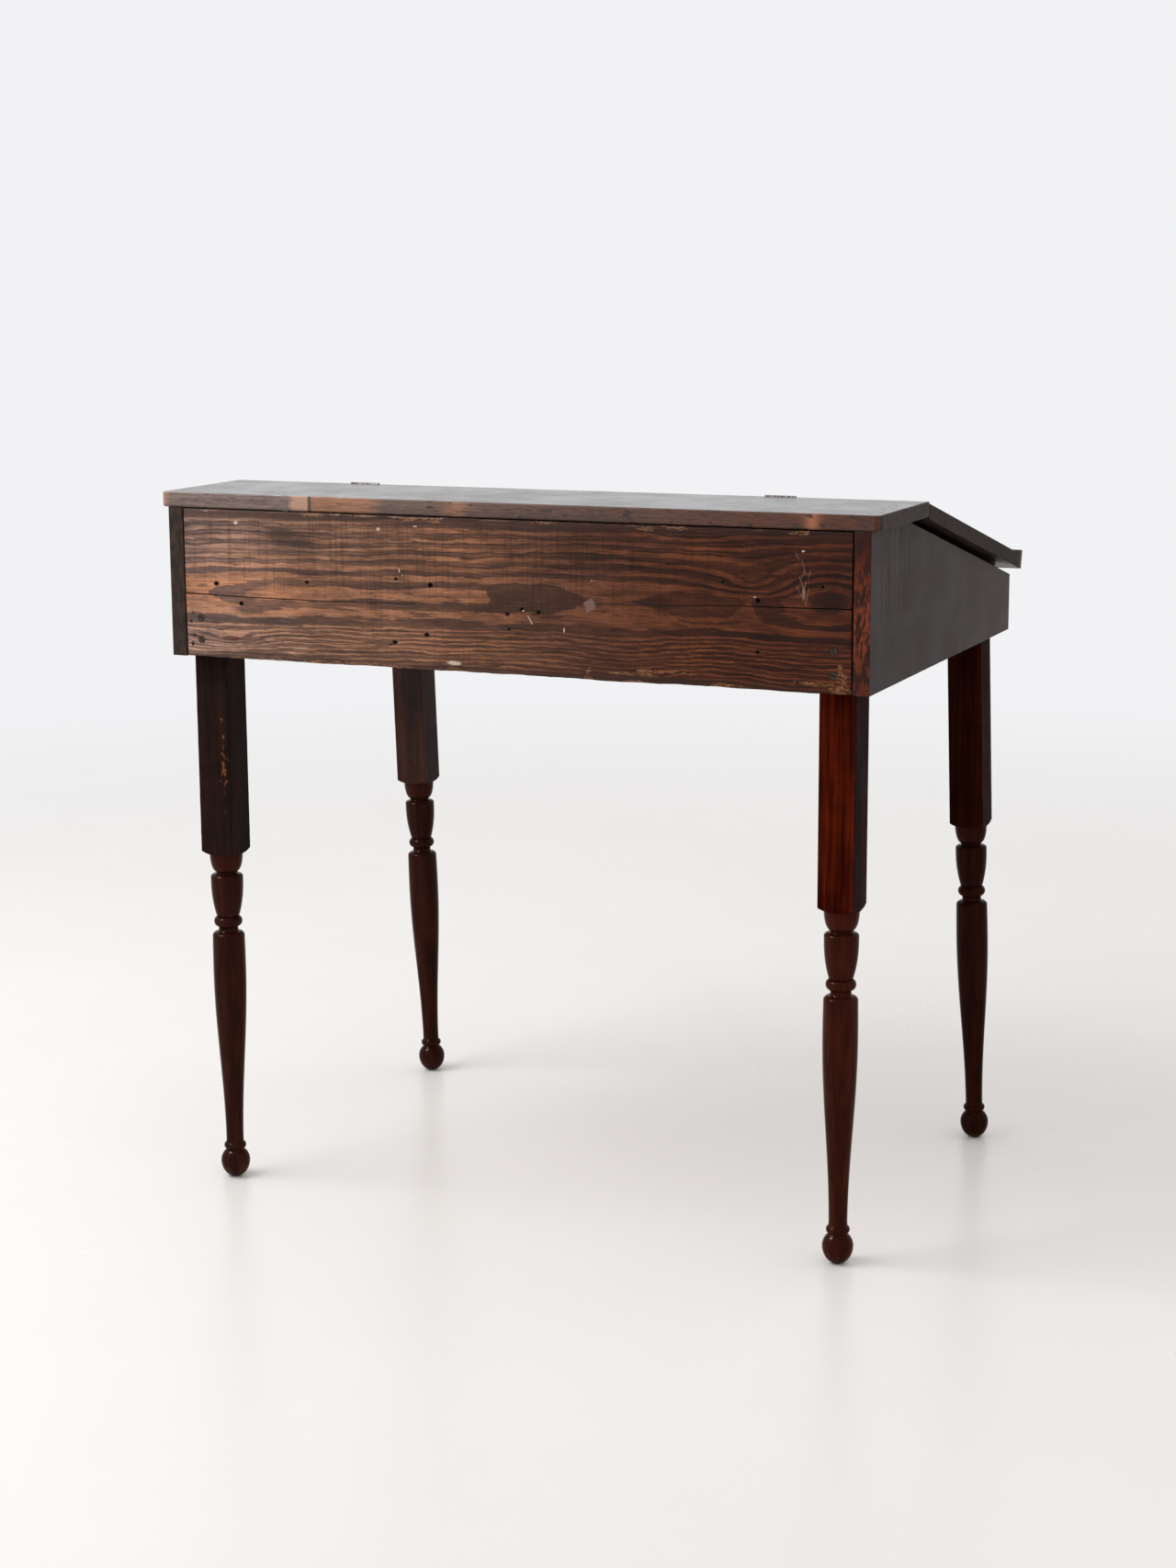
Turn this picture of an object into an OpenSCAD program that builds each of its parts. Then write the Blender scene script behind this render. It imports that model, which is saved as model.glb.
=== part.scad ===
// Slant top desk on four turned legs.
// Origin: on the floor, under the middle of the desk. +Z is up, the low side
// where the writer sits is at -Y, and the tall back is at +Y.
// Left and right are the writer's own: left is -X.

/* [Case] */
// Width of the case over its two side boards
case_w = 970; // [840:10:1200]
// Depth of the case over its front and back boards
case_d = 646; // [560:2:700]
// Height of the side boards at the back, up to the underside of the shelf
case_back_h = 198; // [192:1:230]
// Height of the underside of the case above the floor
case_bottom_z = 736; // [640:2:800]
// Thickness of the side boards
side_t = 21; // [16:0.5:26]
// Thickness of the back board
back_t = 20; // [14:0.5:26]
// Thickness of the front board
front_t = 20; // [14:0.5:26]
// Thickness of the bottom boards
bottom_t = 17; // [12:0.5:22]
// Depth of the front one of the two bottom boards
bottom_front_d = 300; // [200:5:380]
// Shrinkage gap at each end of the back board
back_end_gap = 1.8; // [0.5:0.1:4]
// Gap between the top edge of the back board and the shelf
back_top_gap = 1.5; // [1:0.5:8]

/* [Shelf] */
// Depth of the level shelf board at the top of the back
shelf_d = 203; // [180:1:230]
// Thickness of the shelf board
shelf_t = 19.5; // [17:0.5:24]
// How far the shelf and the lid reach past the side boards
end_overhang = 11.5; // [4:0.5:20]
// Corner radius of the shelf in plan
shelf_corner_r = 9; // [3:0.5:16]

/* [Lid] */
// Fall of the lid towards the writer, in degrees
lid_slope = 13.5; // [11:0.1:14]
// Thickness of the lid boards
lid_t = 19.5; // [17:0.5:22]
// Depth of the lower lid board, measured down the slope
lid_lower_d = 232; // [150:1:300]
// How much lower the top of the lid is than the top of the shelf at the joint
lid_step = 3; // [0.5:0.1:4]
// Open height between the lid and the sloped edges of the side boards
lid_lift = 10; // [4:0.5:14]
// How far the lid reaches past the front board
lid_front_overhang = 24; // [10:1:40]
// Clearance between the closed lid and the front board that carries it
lid_rest_gap = 0.3; // [0.1:0.1:0.6]
// Width of each batten under the lid
batten_w = 45; // [30:1:70]
// Thickness of each batten
batten_t = 16; // [10:0.5:20]
// Distance from each end of the lid to the middle of the batten near it
batten_end_inset = 166.5; // [130:0.5:240]
// Distance from the joint to the battens, down the slope
batten_back_inset = 42; // [30:1:80]
// Space between the battens and the front board
batten_front_clear = 12; // [6:1:60]
// Thickness of the strip along the front edge of the lid, the pencil ledge
ledge_w = 13; // [9:0.5:20]
// How far the strip stands up above the lid
ledge_h = 6; // [4:0.5:10]
// Radius of the rounded arrises of the strip
ledge_r = 3; // [1:0.25:3.5]
// Corner radius of the two ends of the strip in plan
ledge_corner_r = 3; // [1:0.25:5]

/* [Hinges] */
// Length of each butt hinge
hinge_len = 42; // [36:1:70]
// Distance from each end of the lid to the middle of the hinge near it
hinge_end_inset = 197.5; // [140:0.5:280]
// Space between the shelf and the back edge of the lid
hinge_gap = 1.5; // [1.2:0.1:2.5]
// Height of each leaf below the pin
leaf_h = 15; // [12:0.5:16]
// Thickness of each leaf
leaf_t = 1.2; // [1:0.1:1.6]
// Radius of the knuckles
knuckle_r = 2; // [1.9:0.1:2.6]
// Radius of the hinge pin
hinge_pin_r = 1; // [0.8:0.05:1.1]
// Depth of the pin's middle below the top of the shelf
pin_drop = 0.4; // [0:0.1:0.5]

/* [Legs] */
// Thickness of the square leg stock
leg_sq = 48.5; // [40:0.5:54]
// How far the legs rise inside the case
leg_in_case = 72; // [64:1:74]
// Sideways lean of the two front legs towards -X, in degrees
front_lean = 1.9; // [0:0.1:2.5]
// Height over which the lathe rounds the corners at the foot of the square
block_round_h = 6; // [3:0.5:12]

/* [Leg turning] */
// Radius of the ball foot
ball_r = 20; // [17:0.5:24]
// Depth of the ball foot below its fullest part, before wear
ball_low_h = 24; // [18:0.5:30]
// Wear of the ball foot where it stands on the floor
foot_flat = 1; // [0.5:0.1:2]
// Radius of the neck above the ball
ball_neck_r = 12.5; // [8:0.5:13]
// Height of the neck above the ball
ball_neck_h = 1.5; // [0.5:0.5:8]
// Radius of the ankle ring
ring_r = 15.2; // [13.6:0.2:18]
// Height of the ankle ring
ring_h = 9; // [6:0.5:14]
// Radius of the slimmest part of the taper
ankle_r = 11.9; // [10:0.1:13]
// Height of the taper from the ankle ring to its fullest part
taper_h = 248; // [200:1:280]
// Radius of the fullest part of the taper
swell_r = 22.4; // [18:0.1:24]
// Height from the fullest part to the shoulder
swell_h = 48; // [30:1:60]
// Radius at the shoulder of the taper
shoulder_r = 21.9; // [17:0.1:23]
// Height of the rounded shoulder
shoulder_h = 6; // [3:0.5:10]
// Radius of the groove under the bead
groove_r = 13.4; // [10:0.1:15]
// Height of the groove under the bead
groove_h = 7; // [3:0.5:10]
// Radius of the bead
bead_r = 19.3; // [17:0.1:22]
// Height of the bead
bead_h = 14; // [10:0.5:18]
// Radius of the foot of the vase
vase_foot_r = 15.2; // [12:0.1:18]
// Height of the curved body of the vase
vase_h = 50; // [40:1:64]
// Radius of the vase at its rim
vase_r = 22; // [19:0.1:24]
// Height of the straight rim of the vase
rim_h = 5.5; // [2:0.5:6]
// Height of the rounded top of the rim
rim_round_h = 4.5; // [3:0.5:8]
// Radius of the neck over the vase
neck_r = 14.3; // [11:0.1:17]
// Height of the neck over the vase
neck_h = 3; // [1:0.5:6]
// Height of the cup under the square
cup_h = 25.5; // [16:0.5:30]
// Radius of the cup where it meets the square
cup_r = 22.5; // [19:0.1:24]

/* [Fasteners] */
// Radius of the leg screw heads
leg_screw_head_r = 4.3; // [3.5:0.1:5.5]
// Radius of the leg screw shanks
leg_screw_r = 2.3; // [1.8:0.1:2.8]
// Length of the leg screws
leg_screw_len = 50; // [38:1:60]
// Height of the lower leg screws above the underside of the case
leg_screw_low = 23; // [21:1:28]
// Height of the upper leg screws above the underside of the case
leg_screw_high = 52; // [45:1:58]
// Radius of the nail heads
nail_head_r = 2.3; // [1.8:0.1:3]
// Radius of the nail shanks
nail_r = 1.4; // [1:0.1:1.7]
// Length of the nails
nail_len = 48; // [40:1:60]
// Radius of the small screw heads in the hinges
hinge_screw_head_r = 2.6; // [2.2:0.1:3]
// Radius of the small screw shanks in the hinges
hinge_screw_r = 1.3; // [1:0.1:1.6]
// Length of the small screws in the hinges
hinge_screw_len = 15; // [10:0.5:20]
// Radius of the batten screw heads
batten_screw_head_r = 4; // [3:0.1:5]
// Radius of the batten screw shanks
batten_screw_r = 2; // [1.5:0.1:2.5]
// Length of the batten screws
batten_screw_len = 28; // [24:0.5:29]
// Radius of the brads in the pencil ledge
brad_r = 0.8; // [0.6:0.1:1.2]
// Length of the brads
brad_len = 30; // [24:0.5:40]

/* [Hidden] */

$fn = 48;
// Clearance of a screw, nail or brad in its hole
fastener_gap = 0.05;
// Running clearance of the pin in the lid's knuckles, and its fit in the shelf's
pin_run_gap = 0.05;
pin_seat_gap = 0.02;
// Clearance between one knuckle and the next, and round a knuckle in the boards
knuckle_gap = 0.25;
knuckle_recess = 0.3;
knuckle_count = 5;
// Clearance of a leaf in its mortise, and of a leaning leg against the side board
leaf_gap = 0.1;
leg_gap = 0.1;
notch_gap = 3;
// Overrun of a cutting shape past the face that it opens
cut = 1;

// Case
half_w = case_w / 2;
inner_x = half_w - side_t;
back_y = (case_d + lid_front_overhang) / 2;
front_y = back_y - case_d;
back_in_y = back_y - back_t;
front_in_y = front_y + front_t;
under_shelf_z = case_bottom_z + case_back_h;
shelf_top_z = under_shelf_z + shelf_t;
bottom_top_z = case_bottom_z + bottom_t;
bottom_seam_y = front_in_y + bottom_front_d;

// Lid: its back edge is a plumb cut beside the shelf
joint_y = back_y - shelf_d;
lid_back_y = joint_y - hinge_gap;
lid_top_z = shelf_top_z - lid_step;
lid_under_z = lid_top_z - lid_t / cos(lid_slope);
lid_half_w = half_w + end_overhang;
lid_front_y = front_y - lid_front_overhang;
strip_h = lid_t + ledge_h;
lid_len = (lid_back_y - lid_front_y - ledge_r - (strip_h - ledge_r) * sin(lid_slope))
          / cos(lid_slope) + ledge_r;
lid_seam = lid_len - lid_lower_d;
batten_end = (lid_back_y - front_in_y - batten_front_clear) / cos(lid_slope);
batten_x = lid_half_w - batten_end_inset;

// Height of the underside of the lid, and of the side boards' sloped edges, at y
function lid_under_at(y) = lid_under_z - (lid_back_y - y) * tan(lid_slope);
function side_top_at(y) = lid_under_at(y) - lid_lift;
side_peak_y = lid_back_y + (under_shelf_z + lid_lift - lid_under_z) / tan(lid_slope);

// Hinges
hinge_x = lid_half_w - hinge_end_inset;
pin_y = joint_y - hinge_gap / 2;
pin_z = shelf_top_z - pin_drop;
knuckle_len = (hinge_len - (knuckle_count - 1) * knuckle_gap) / knuckle_count;
hinge_screw_z = pin_z - leaf_h * 0.6;
hinge_screw_pitch = hinge_len * 0.34;

// Legs: the screws hold the front ones by two points, so they have swung sideways
leg_half = leg_sq / 2;
lean_drop = (case_bottom_z - ball_low_h + foot_flat) * (1 / cos(front_lean) - 1);
leg_back_x = inner_x - leg_half;
leg_back_y = back_in_y - leg_half;
leg_front_y = front_in_y + leg_half;
leg_front_left_x = -inner_x + leg_half / cos(front_lean) + leg_gap;
leg_front_right_x = inner_x - leg_half * cos(front_lean)
                    - leg_in_case * sin(front_lean) - leg_gap;

// Turned profile, from the floor up
ball_z = ball_low_h - foot_flat;
ball_top_a = acos(ball_neck_r / ball_r);
ring_z = ball_z + ball_r * sin(ball_top_a) + ball_neck_h;
taper_z = ring_z + ring_h;
swell_z = taper_z + taper_h;
shoulder_z = swell_z + swell_h;
groove_z = shoulder_z + shoulder_h;
bead_z = groove_z + groove_h;
vase_z = bead_z + bead_h;
rim_z = vase_z + vase_h;
rim_round_z = rim_z + rim_h;
neck_z = rim_round_z + rim_round_h;
cup_z = neck_z + neck_h;
block_z = cup_z + cup_h;
block_corner_r = leg_half * sqrt(2) + cut;
leg_top_z = case_bottom_z + leg_in_case;

// A ball, drawn out downwards, from its lowest point up to its neck
function ball_points(n) = [for (i = [0:n])
    let (a = -90 + (90 + ball_top_a) * i / n)
    [ball_r * cos(a), ball_z + (a < 0 ? ball_low_h : ball_r) * sin(a)]];
// A half-round bulge of height h over a base radius
function bulge(z, h, base, top, n) = [for (i = [0:n])
    let (a = 180 * i / n)
    [base + (top - base) * sin(a), z + h * (1 - cos(a)) / 2]];
// A smooth S-shaped change of radius
function blend(z, h, r0, r1, n) = [for (i = [0:n])
    let (u = i / n)
    [r0 + (r1 - r0) * (1 - cos(180 * u)) / 2, z + h * u]];
// A slow fall from the fullest radius
function ease(z, h, r0, r1, n) = [for (i = [1:n])
    let (u = i / n)
    [r0 + (r1 - r0) * u * u, z + h * u]];
// A quarter round that closes in towards its top
function close_in(z, h, outer, inner, n) = [for (i = [1:n])
    let (a = 90 * i / n)
    [inner + (outer - inner) * cos(a), z + h * sin(a)]];
// A bowl that opens towards its top
function open_out(z, h, inner, outer, n) = [for (i = [0:n])
    let (a = 90 * i / n)
    [inner + (outer - inner) * sin(a), z + h * (1 - cos(a))]];
// The body of the vase, full at the top and drawn in at its foot
function vase_points(z, h, foot, full, n) = [for (i = [0:n])
    let (u = 1 - i / n)
    [full - (full - foot) * pow(u, 2.2), z + h * (1 - u)]];

turned_points = concat(
    ball_points(14),
    bulge(ring_z, ring_h, ankle_r, ring_r, 8),
    blend(taper_z, taper_h, ankle_r, swell_r, 16),
    ease(swell_z, swell_h, swell_r, shoulder_r, 3),
    close_in(shoulder_z, shoulder_h, shoulder_r, groove_r, 4),
    bulge(bead_z, bead_h, groove_r, bead_r, 8),
    vase_points(vase_z, vase_h, vase_foot_r, vase_r, 8),
    [[vase_r, rim_round_z]],
    close_in(rim_round_z, rim_round_h, vase_r, neck_r, 4),
    open_out(cup_z, cup_h, neck_r, cup_r, 6),
    [[0, block_z]]
);

// Where the nails are driven. In the side boards: [distance forward from the
// back of the case, height above its underside]
back_nails = [[back_t / 2, 38], [back_t / 2, 148]];
bottom_nails = [[100, bottom_t / 2], [case_d / 2, bottom_t / 2], [case_d - 110, bottom_t / 2]];
front_nails = [[case_d - front_t / 2, 37], [case_d - front_t / 2, 66]];
leg_nails = [[back_t + leg_half + 6, 36], [case_d - front_t - leg_half - 9, 34],
             [case_d - front_t - leg_half + 9, 62]];
side_nails = concat(back_nails, bottom_nails, front_nails, leg_nails);
// In the shelf: distance forward from its back edge
shelf_nail_from_back = [24, 80, 132];
nail_head_h = 1;

// Marks of old nails in the back board: [distance right of the middle, height
// above the underside of the case, hole radius]
old_nails = [
    [415, 99, 2.2], [378, 74, 2.1], [279, 106, 1.4], [152, 34, 1.9], [149, 116, 1.2],
    [106, 46, 1.9], [100, 110, 2.3], [-8, 78, 1.5], [-10, 59, 1.1], [-28, 85, 1.7],
    [-51, 82, 1.8], [-298, 131, 1.4], [-343, 110, 2.4], [-343, 47, 1.6], [-425, 130, 1.5]
];
old_nail_depth = 9;
// Two drying splits run in from the ends of the back board, along its grain
split_right = [[349, 82], [279, 82], [194, 83], [139, 85]];
split_left = [[-348, 102], [-321, 102], [-215, 98], [-167, 97]];
split_mouth = 1.3;
split_depth = 12;

// A flat-headed screw that points along +Z, its head flush with the plane z = 0
module screw(head_r, shank_r, len, slot_turn) {
    head_h = head_r - shank_r;
    slot_w = head_r * 0.26;
    slot_h = head_h * 0.5;
    difference() {
        union() {
            cylinder(h = head_h, r1 = head_r, r2 = shank_r);
            translate([0, 0, head_h])
                cylinder(h = len - head_h - shank_r, r = shank_r);
            translate([0, 0, len - shank_r])
                cylinder(h = shank_r, r1 = shank_r, r2 = shank_r * 0.3);
        }
        rotate([0, 0, slot_turn])
            translate([-head_r - cut, -slot_w / 2, -cut])
                cube([2 * (head_r + cut), slot_w, slot_h + cut]);
    }
}

// The hole that such a screw sits in
module screw_hole(head_r, shank_r, len) {
    head_h = head_r - shank_r;
    translate([0, 0, -cut])
        cylinder(h = len + cut + fastener_gap, r = shank_r + fastener_gap);
    translate([0, 0, -cut])
        cylinder(h = cut, r = head_r + fastener_gap);
    cylinder(h = head_h, r1 = head_r + fastener_gap, r2 = shank_r + fastener_gap);
}

// A wire nail that points along +Z, its head let in flush with z = 0
module nail() {
    cylinder(h = nail_head_h, r = nail_head_r);
    cylinder(h = nail_len, r = nail_r);
}

module nail_hole() {
    translate([0, 0, -cut])
        cylinder(h = nail_head_h + cut, r = nail_head_r + fastener_gap);
    translate([0, 0, -cut])
        cylinder(h = nail_len + cut + fastener_gap, r = nail_r + fastener_gap);
}

// Puts its children at each nail of a side board; side is -1 for the left one
module at_side_nails(side) {
    for (p = side_nails)
        translate([side * half_w, back_y - p[0], case_bottom_z + p[1]])
            rotate([0, -side * 90, 0])
                children();
}

module at_shelf_nails() {
    for (side = [-1, 1])
        for (d = shelf_nail_from_back)
            translate([side * (half_w - side_t / 2), back_y - d, shelf_top_z])
                rotate([180, 0, 0])
                    children();
}

// Puts its children at the four screws of the back board, pointing forward
module at_back_screws() {
    for (side = [-1, 1])
        for (h = [leg_screw_low, leg_screw_high])
            translate([side * leg_back_x, back_y, case_bottom_z + h])
                rotate([90, 0, 0])
                    children();
}

// Puts its children at the four screws of the front board, pointing back
module at_front_screws() {
    for (x = [leg_front_left_x, leg_front_right_x])
        for (h = [leg_screw_low, leg_screw_high])
            translate([x, front_y, case_bottom_z + h])
                rotate([-90, 0, 0])
                    children();
}

module leg_screw() {
    screw(leg_screw_head_r, leg_screw_r, leg_screw_len, 55);
}

module leg_screw_hole() {
    screw_hole(leg_screw_head_r, leg_screw_r, leg_screw_len);
}

// A flat outline in the Y-Z plane, drawn out along X between two planes
module along_x(x0, x1) {
    translate([x0, 0, 0])
        rotate([90, 0, 90])
            linear_extrude(height = x1 - x0)
                children();
}

// The case
module split_cut(side, points) {
    mouth = side * (inner_x - back_end_gap);
    first = points[0];
    line = concat([[mouth + side * cut, first[1] + 2]], points);
    last = len(line) - 1;
    upper = [for (i = [last:-1:0]) [line[i][0], line[i][1] + split_mouth * (last - i) / last]];
    translate([0, back_y + cut, case_bottom_z])
        rotate([90, 0, 0])
            linear_extrude(height = split_depth + cut)
                polygon(concat(line, [for (i = [1:last]) upper[i]]));
}

module back_board() {
    color("#6b4226") difference() {
        translate([-inner_x + back_end_gap, back_in_y, case_bottom_z])
            cube([2 * (inner_x - back_end_gap), back_t, case_back_h - back_top_gap]);
        for (n = old_nails)
            translate([n[0], back_y + cut, case_bottom_z + n[1]])
                rotate([90, 0, 0])
                    cylinder(h = old_nail_depth + cut, r = n[2]);
        split_cut(1, split_right);
        split_cut(-1, split_left);
        at_back_screws() leg_screw_hole();
        at_side_nails(-1) nail_hole();
        at_side_nails(1) nail_hole();
    }
}

module side_board(side) {
    color("#3a2f2b") difference() {
        along_x(side > 0 ? inner_x : -half_w, side > 0 ? half_w : -inner_x)
            polygon([
                [front_y, case_bottom_z],
                [back_y, case_bottom_z],
                [back_y, under_shelf_z],
                [side_peak_y, under_shelf_z],
                [front_y, side_top_at(front_y)]
            ]);
        at_side_nails(side) nail_hole();
        at_shelf_nails() nail_hole();
    }
}

module side_board_left() {
    side_board(-1);
}

module side_board_right() {
    side_board(1);
}

module front_board() {
    color("#3d2a20") difference() {
        along_x(-inner_x, inner_x)
            polygon([
                [front_y, case_bottom_z],
                [front_in_y, case_bottom_z],
                [front_in_y, lid_under_at(front_in_y) - lid_rest_gap],
                [front_y, lid_under_at(front_y) - lid_rest_gap]
            ]);
        at_front_screws() leg_screw_hole();
        at_side_nails(-1) nail_hole();
        at_side_nails(1) nail_hole();
    }
}

// The room that a leg needs in the bottom boards
module leg_notch(x, y) {
    room = leg_half + notch_gap;
    translate([x - room, y - room, case_bottom_z - cut])
        cube([2 * room, 2 * room, bottom_t + 2 * cut]);
}

module bottom_board(y0, y1) {
    color("#5b4330") difference() {
        translate([-inner_x, y0, case_bottom_z])
            cube([2 * inner_x, y1 - y0, bottom_t]);
        leg_notch(leg_front_left_x, leg_front_y);
        leg_notch(leg_front_right_x, leg_front_y);
        leg_notch(-leg_back_x, leg_back_y);
        leg_notch(leg_back_x, leg_back_y);
        at_side_nails(-1) nail_hole();
        at_side_nails(1) nail_hole();
    }
}

module bottom_board_front() {
    bottom_board(front_in_y, bottom_seam_y);
}

module bottom_board_back() {
    bottom_board(bottom_seam_y, back_in_y);
}

// The shelf and its two hinge seats
module at_hinges() {
    for (side = [-1, 1])
        translate([side * hinge_x, pin_y, pin_z])
            children();
}

// Hinge parts are drawn about the pin: face is 1 towards the shelf, -1 towards the lid
module leaf_seat(face) {
    half_len = hinge_len / 2 + leaf_gap;
    near = hinge_gap / 2;
    y0 = face > 0 ? near - cut : -near - leaf_t - leaf_gap;
    translate([-half_len, y0, -leaf_h - leaf_gap])
        cube([2 * half_len, leaf_t + leaf_gap + cut, leaf_h + knuckle_r + cut]);
    rotate([0, 90, 0])
        translate([0, 0, -half_len])
            cylinder(h = 2 * half_len, r = knuckle_r + knuckle_recess);
}

module at_hinge_screws(face) {
    for (side = [-1, 1])
        for (i = [-1, 0, 1])
            translate([side * hinge_x + i * hinge_screw_pitch,
                       pin_y + face * hinge_gap / 2, hinge_screw_z])
                rotate([-face * 90, 0, 0])
                    children();
}

module hinge_screw() {
    screw(hinge_screw_head_r, hinge_screw_r, hinge_screw_len, 20);
}

module hinge_screw_hole() {
    screw_hole(hinge_screw_head_r, hinge_screw_r, hinge_screw_len);
}

module shelf_board() {
    color("#33271f") difference() {
        translate([0, 0, under_shelf_z])
            linear_extrude(height = shelf_t)
                union() {
                    translate([-lid_half_w, joint_y])
                        square([2 * lid_half_w, shelf_d - shelf_corner_r]);
                    translate([-lid_half_w + shelf_corner_r, joint_y])
                        square([2 * (lid_half_w - shelf_corner_r), shelf_d]);
                    for (side = [-1, 1])
                        translate([side * (lid_half_w - shelf_corner_r), back_y - shelf_corner_r])
                            circle(r = shelf_corner_r);
                }
        at_hinges() leaf_seat(1);
        at_hinge_screws(1) hinge_screw_hole();
        at_shelf_nails() nail_hole();
    }
}

// The lid. In its own frame y runs up the slope to the back and z is square to the boards
module on_slope() {
    translate([0, lid_back_y, lid_under_z])
        rotate([lid_slope, 0, 0])
            children();
}

// Puts its children at the six batten screws, pointing up into the lid
module at_batten_screws() {
    reach = batten_end - batten_back_inset;
    for (side = [-1, 1])
        for (part = [0.1, 0.5, 0.9])
            on_slope()
                translate([side * batten_x, -batten_back_inset - reach * part, -batten_t])
                    children();
}

module batten_screw() {
    screw(batten_screw_head_r, batten_screw_r, batten_screw_len, 70);
}

module batten_screw_hole() {
    screw_hole(batten_screw_head_r, batten_screw_r, batten_screw_len);
}

// Puts its children at the brads, pointing back through the strip into the lid
brad_count = 7;
module at_brads() {
    for (i = [0:brad_count - 1])
        on_slope()
            translate([(2 * i / (brad_count - 1) - 1) * (lid_half_w - 25), -lid_len, lid_t / 2])
                rotate([-90, 0, 0])
                    children();
}

module brad() {
    cylinder(h = brad_len, r = brad_r);
}

module brad_hole() {
    translate([0, 0, -cut])
        cylinder(h = brad_len + cut + fastener_gap, r = brad_r + fastener_gap);
}

module lid_board_upper() {
    color("#33271f") difference() {
        along_x(-lid_half_w, lid_half_w)
            polygon([
                [lid_back_y, lid_under_z],
                [lid_back_y, lid_top_z],
                [lid_back_y - lid_seam * cos(lid_slope) - lid_t * sin(lid_slope),
                 lid_under_z - lid_seam * sin(lid_slope) + lid_t * cos(lid_slope)],
                [lid_back_y - lid_seam * cos(lid_slope), lid_under_z - lid_seam * sin(lid_slope)]
            ]);
        at_hinges() leaf_seat(-1);
        at_hinge_screws(-1) hinge_screw_hole();
        at_batten_screws() batten_screw_hole();
    }
}

module lid_board_lower() {
    color("#33271f") difference() {
        on_slope()
            translate([-lid_half_w, ledge_w - lid_len, 0])
                cube([2 * lid_half_w, lid_lower_d - ledge_w, lid_t]);
        at_batten_screws() batten_screw_hole();
        at_brads() brad_hole();
    }
}

module lid_batten(side) {
    color("#5b4330") difference() {
        on_slope()
            translate([side * batten_x - batten_w / 2, -batten_end, -batten_t])
                cube([batten_w, batten_end - batten_back_inset, batten_t]);
        at_batten_screws() batten_screw_hole();
    }
}

module lid_batten_left() {
    lid_batten(-1);
}

module lid_batten_right() {
    lid_batten(1);
}

// The section of the strip: y runs from its front face to the lid
module strip_section() {
    translate([0, ledge_r])
        square([ledge_w, strip_h - 2 * ledge_r]);
    translate([ledge_r, 0])
        square([ledge_w - ledge_r, strip_h - ledge_r]);
    translate([ledge_r, ledge_r])
        square([ledge_w - 2 * ledge_r, strip_h - ledge_r]);
    translate([ledge_r, ledge_r])
        circle(r = ledge_r);
    for (y = [ledge_r, ledge_w - ledge_r])
        translate([y, strip_h - ledge_r])
            circle(r = ledge_r);
}

module strip_plan() {
    translate([-lid_half_w, ledge_corner_r])
        square([2 * lid_half_w, ledge_w + cut - ledge_corner_r]);
    translate([ledge_corner_r - lid_half_w, 0])
        square([2 * (lid_half_w - ledge_corner_r), ledge_w + cut]);
    for (side = [-1, 1])
        translate([side * (lid_half_w - ledge_corner_r), ledge_corner_r])
            circle(r = ledge_corner_r);
}

module pencil_ledge() {
    color("#3d2a20") difference() {
        on_slope()
            translate([0, -lid_len, 0])
                intersection() {
                    along_x(-lid_half_w - cut, lid_half_w + cut)
                        strip_section();
                    translate([0, 0, -cut])
                        linear_extrude(height = strip_h + 2 * cut)
                            strip_plan();
                }
        at_brads() brad_hole();
    }
}

// The legs
module leg_stock() {
    rotate_extrude()
        polygon(turned_points);
    intersection() {
        translate([-leg_half, -leg_half, block_z])
            cube([leg_sq, leg_sq, leg_top_z - block_z]);
        rotate_extrude()
            polygon([
                [0, block_z],
                [leg_half, block_z],
                [block_corner_r, block_z + block_round_h],
                [block_corner_r, leg_top_z],
                [0, leg_top_z]
            ]);
    }
}

module floor_cut(x, y) {
    translate([x - case_w / 8, y - case_w / 8, -2 * ball_r])
        cube([case_w / 4, case_w / 4, 2 * ball_r]);
}

module back_leg(side) {
    color("#3b1d14") difference() {
        translate([side * leg_back_x, leg_back_y, 0])
            leg_stock();
        floor_cut(side * leg_back_x, leg_back_y);
        at_back_screws() leg_screw_hole();
        at_side_nails(side) nail_hole();
    }
}

module front_leg(side) {
    x = side > 0 ? leg_front_right_x : leg_front_left_x;
    color("#3b1d14") difference() {
        translate([x, leg_front_y, case_bottom_z])
            rotate([0, front_lean, 0])
                translate([0, 0, -case_bottom_z - lean_drop])
                    leg_stock();
        floor_cut(x, leg_front_y);
        at_front_screws() leg_screw_hole();
        at_side_nails(side) nail_hole();
    }
}

module leg_back_left() {
    back_leg(-1);
}

module leg_back_right() {
    back_leg(1);
}

module leg_front_left() {
    front_leg(-1);
}

module leg_front_right() {
    front_leg(1);
}

// The hinges. Even knuckles belong to the shelf leaf, odd ones to the lid leaf
module knuckles(first, r, extra) {
    for (i = [first:2:knuckle_count - 1])
        translate([-hinge_len / 2 + i * (knuckle_len + knuckle_gap) - extra, 0, 0])
            rotate([0, 90, 0])
                cylinder(h = knuckle_len + 2 * extra, r = r);
}

module leaf(face, first, other, pin_gap) {
    near = hinge_gap / 2;
    y0 = face > 0 ? near : -near - leaf_t;
    difference() {
        union() {
            translate([-hinge_len / 2, y0, -leaf_h])
                cube([hinge_len, leaf_t, leaf_h - knuckle_r / 2]);
            knuckles(first, knuckle_r, 0);
        }
        knuckles(other, knuckle_r + knuckle_recess, knuckle_gap);
        rotate([0, 90, 0])
            translate([0, 0, -hinge_len / 2 - cut])
                cylinder(h = hinge_len + 2 * cut, r = hinge_pin_r + pin_gap);
    }
}

module shelf_leaf(side) {
    color("#2b2724") difference() {
        translate([side * hinge_x, pin_y, pin_z])
            leaf(1, 0, 1, pin_seat_gap);
        at_hinge_screws(1) hinge_screw_hole();
    }
}

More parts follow.
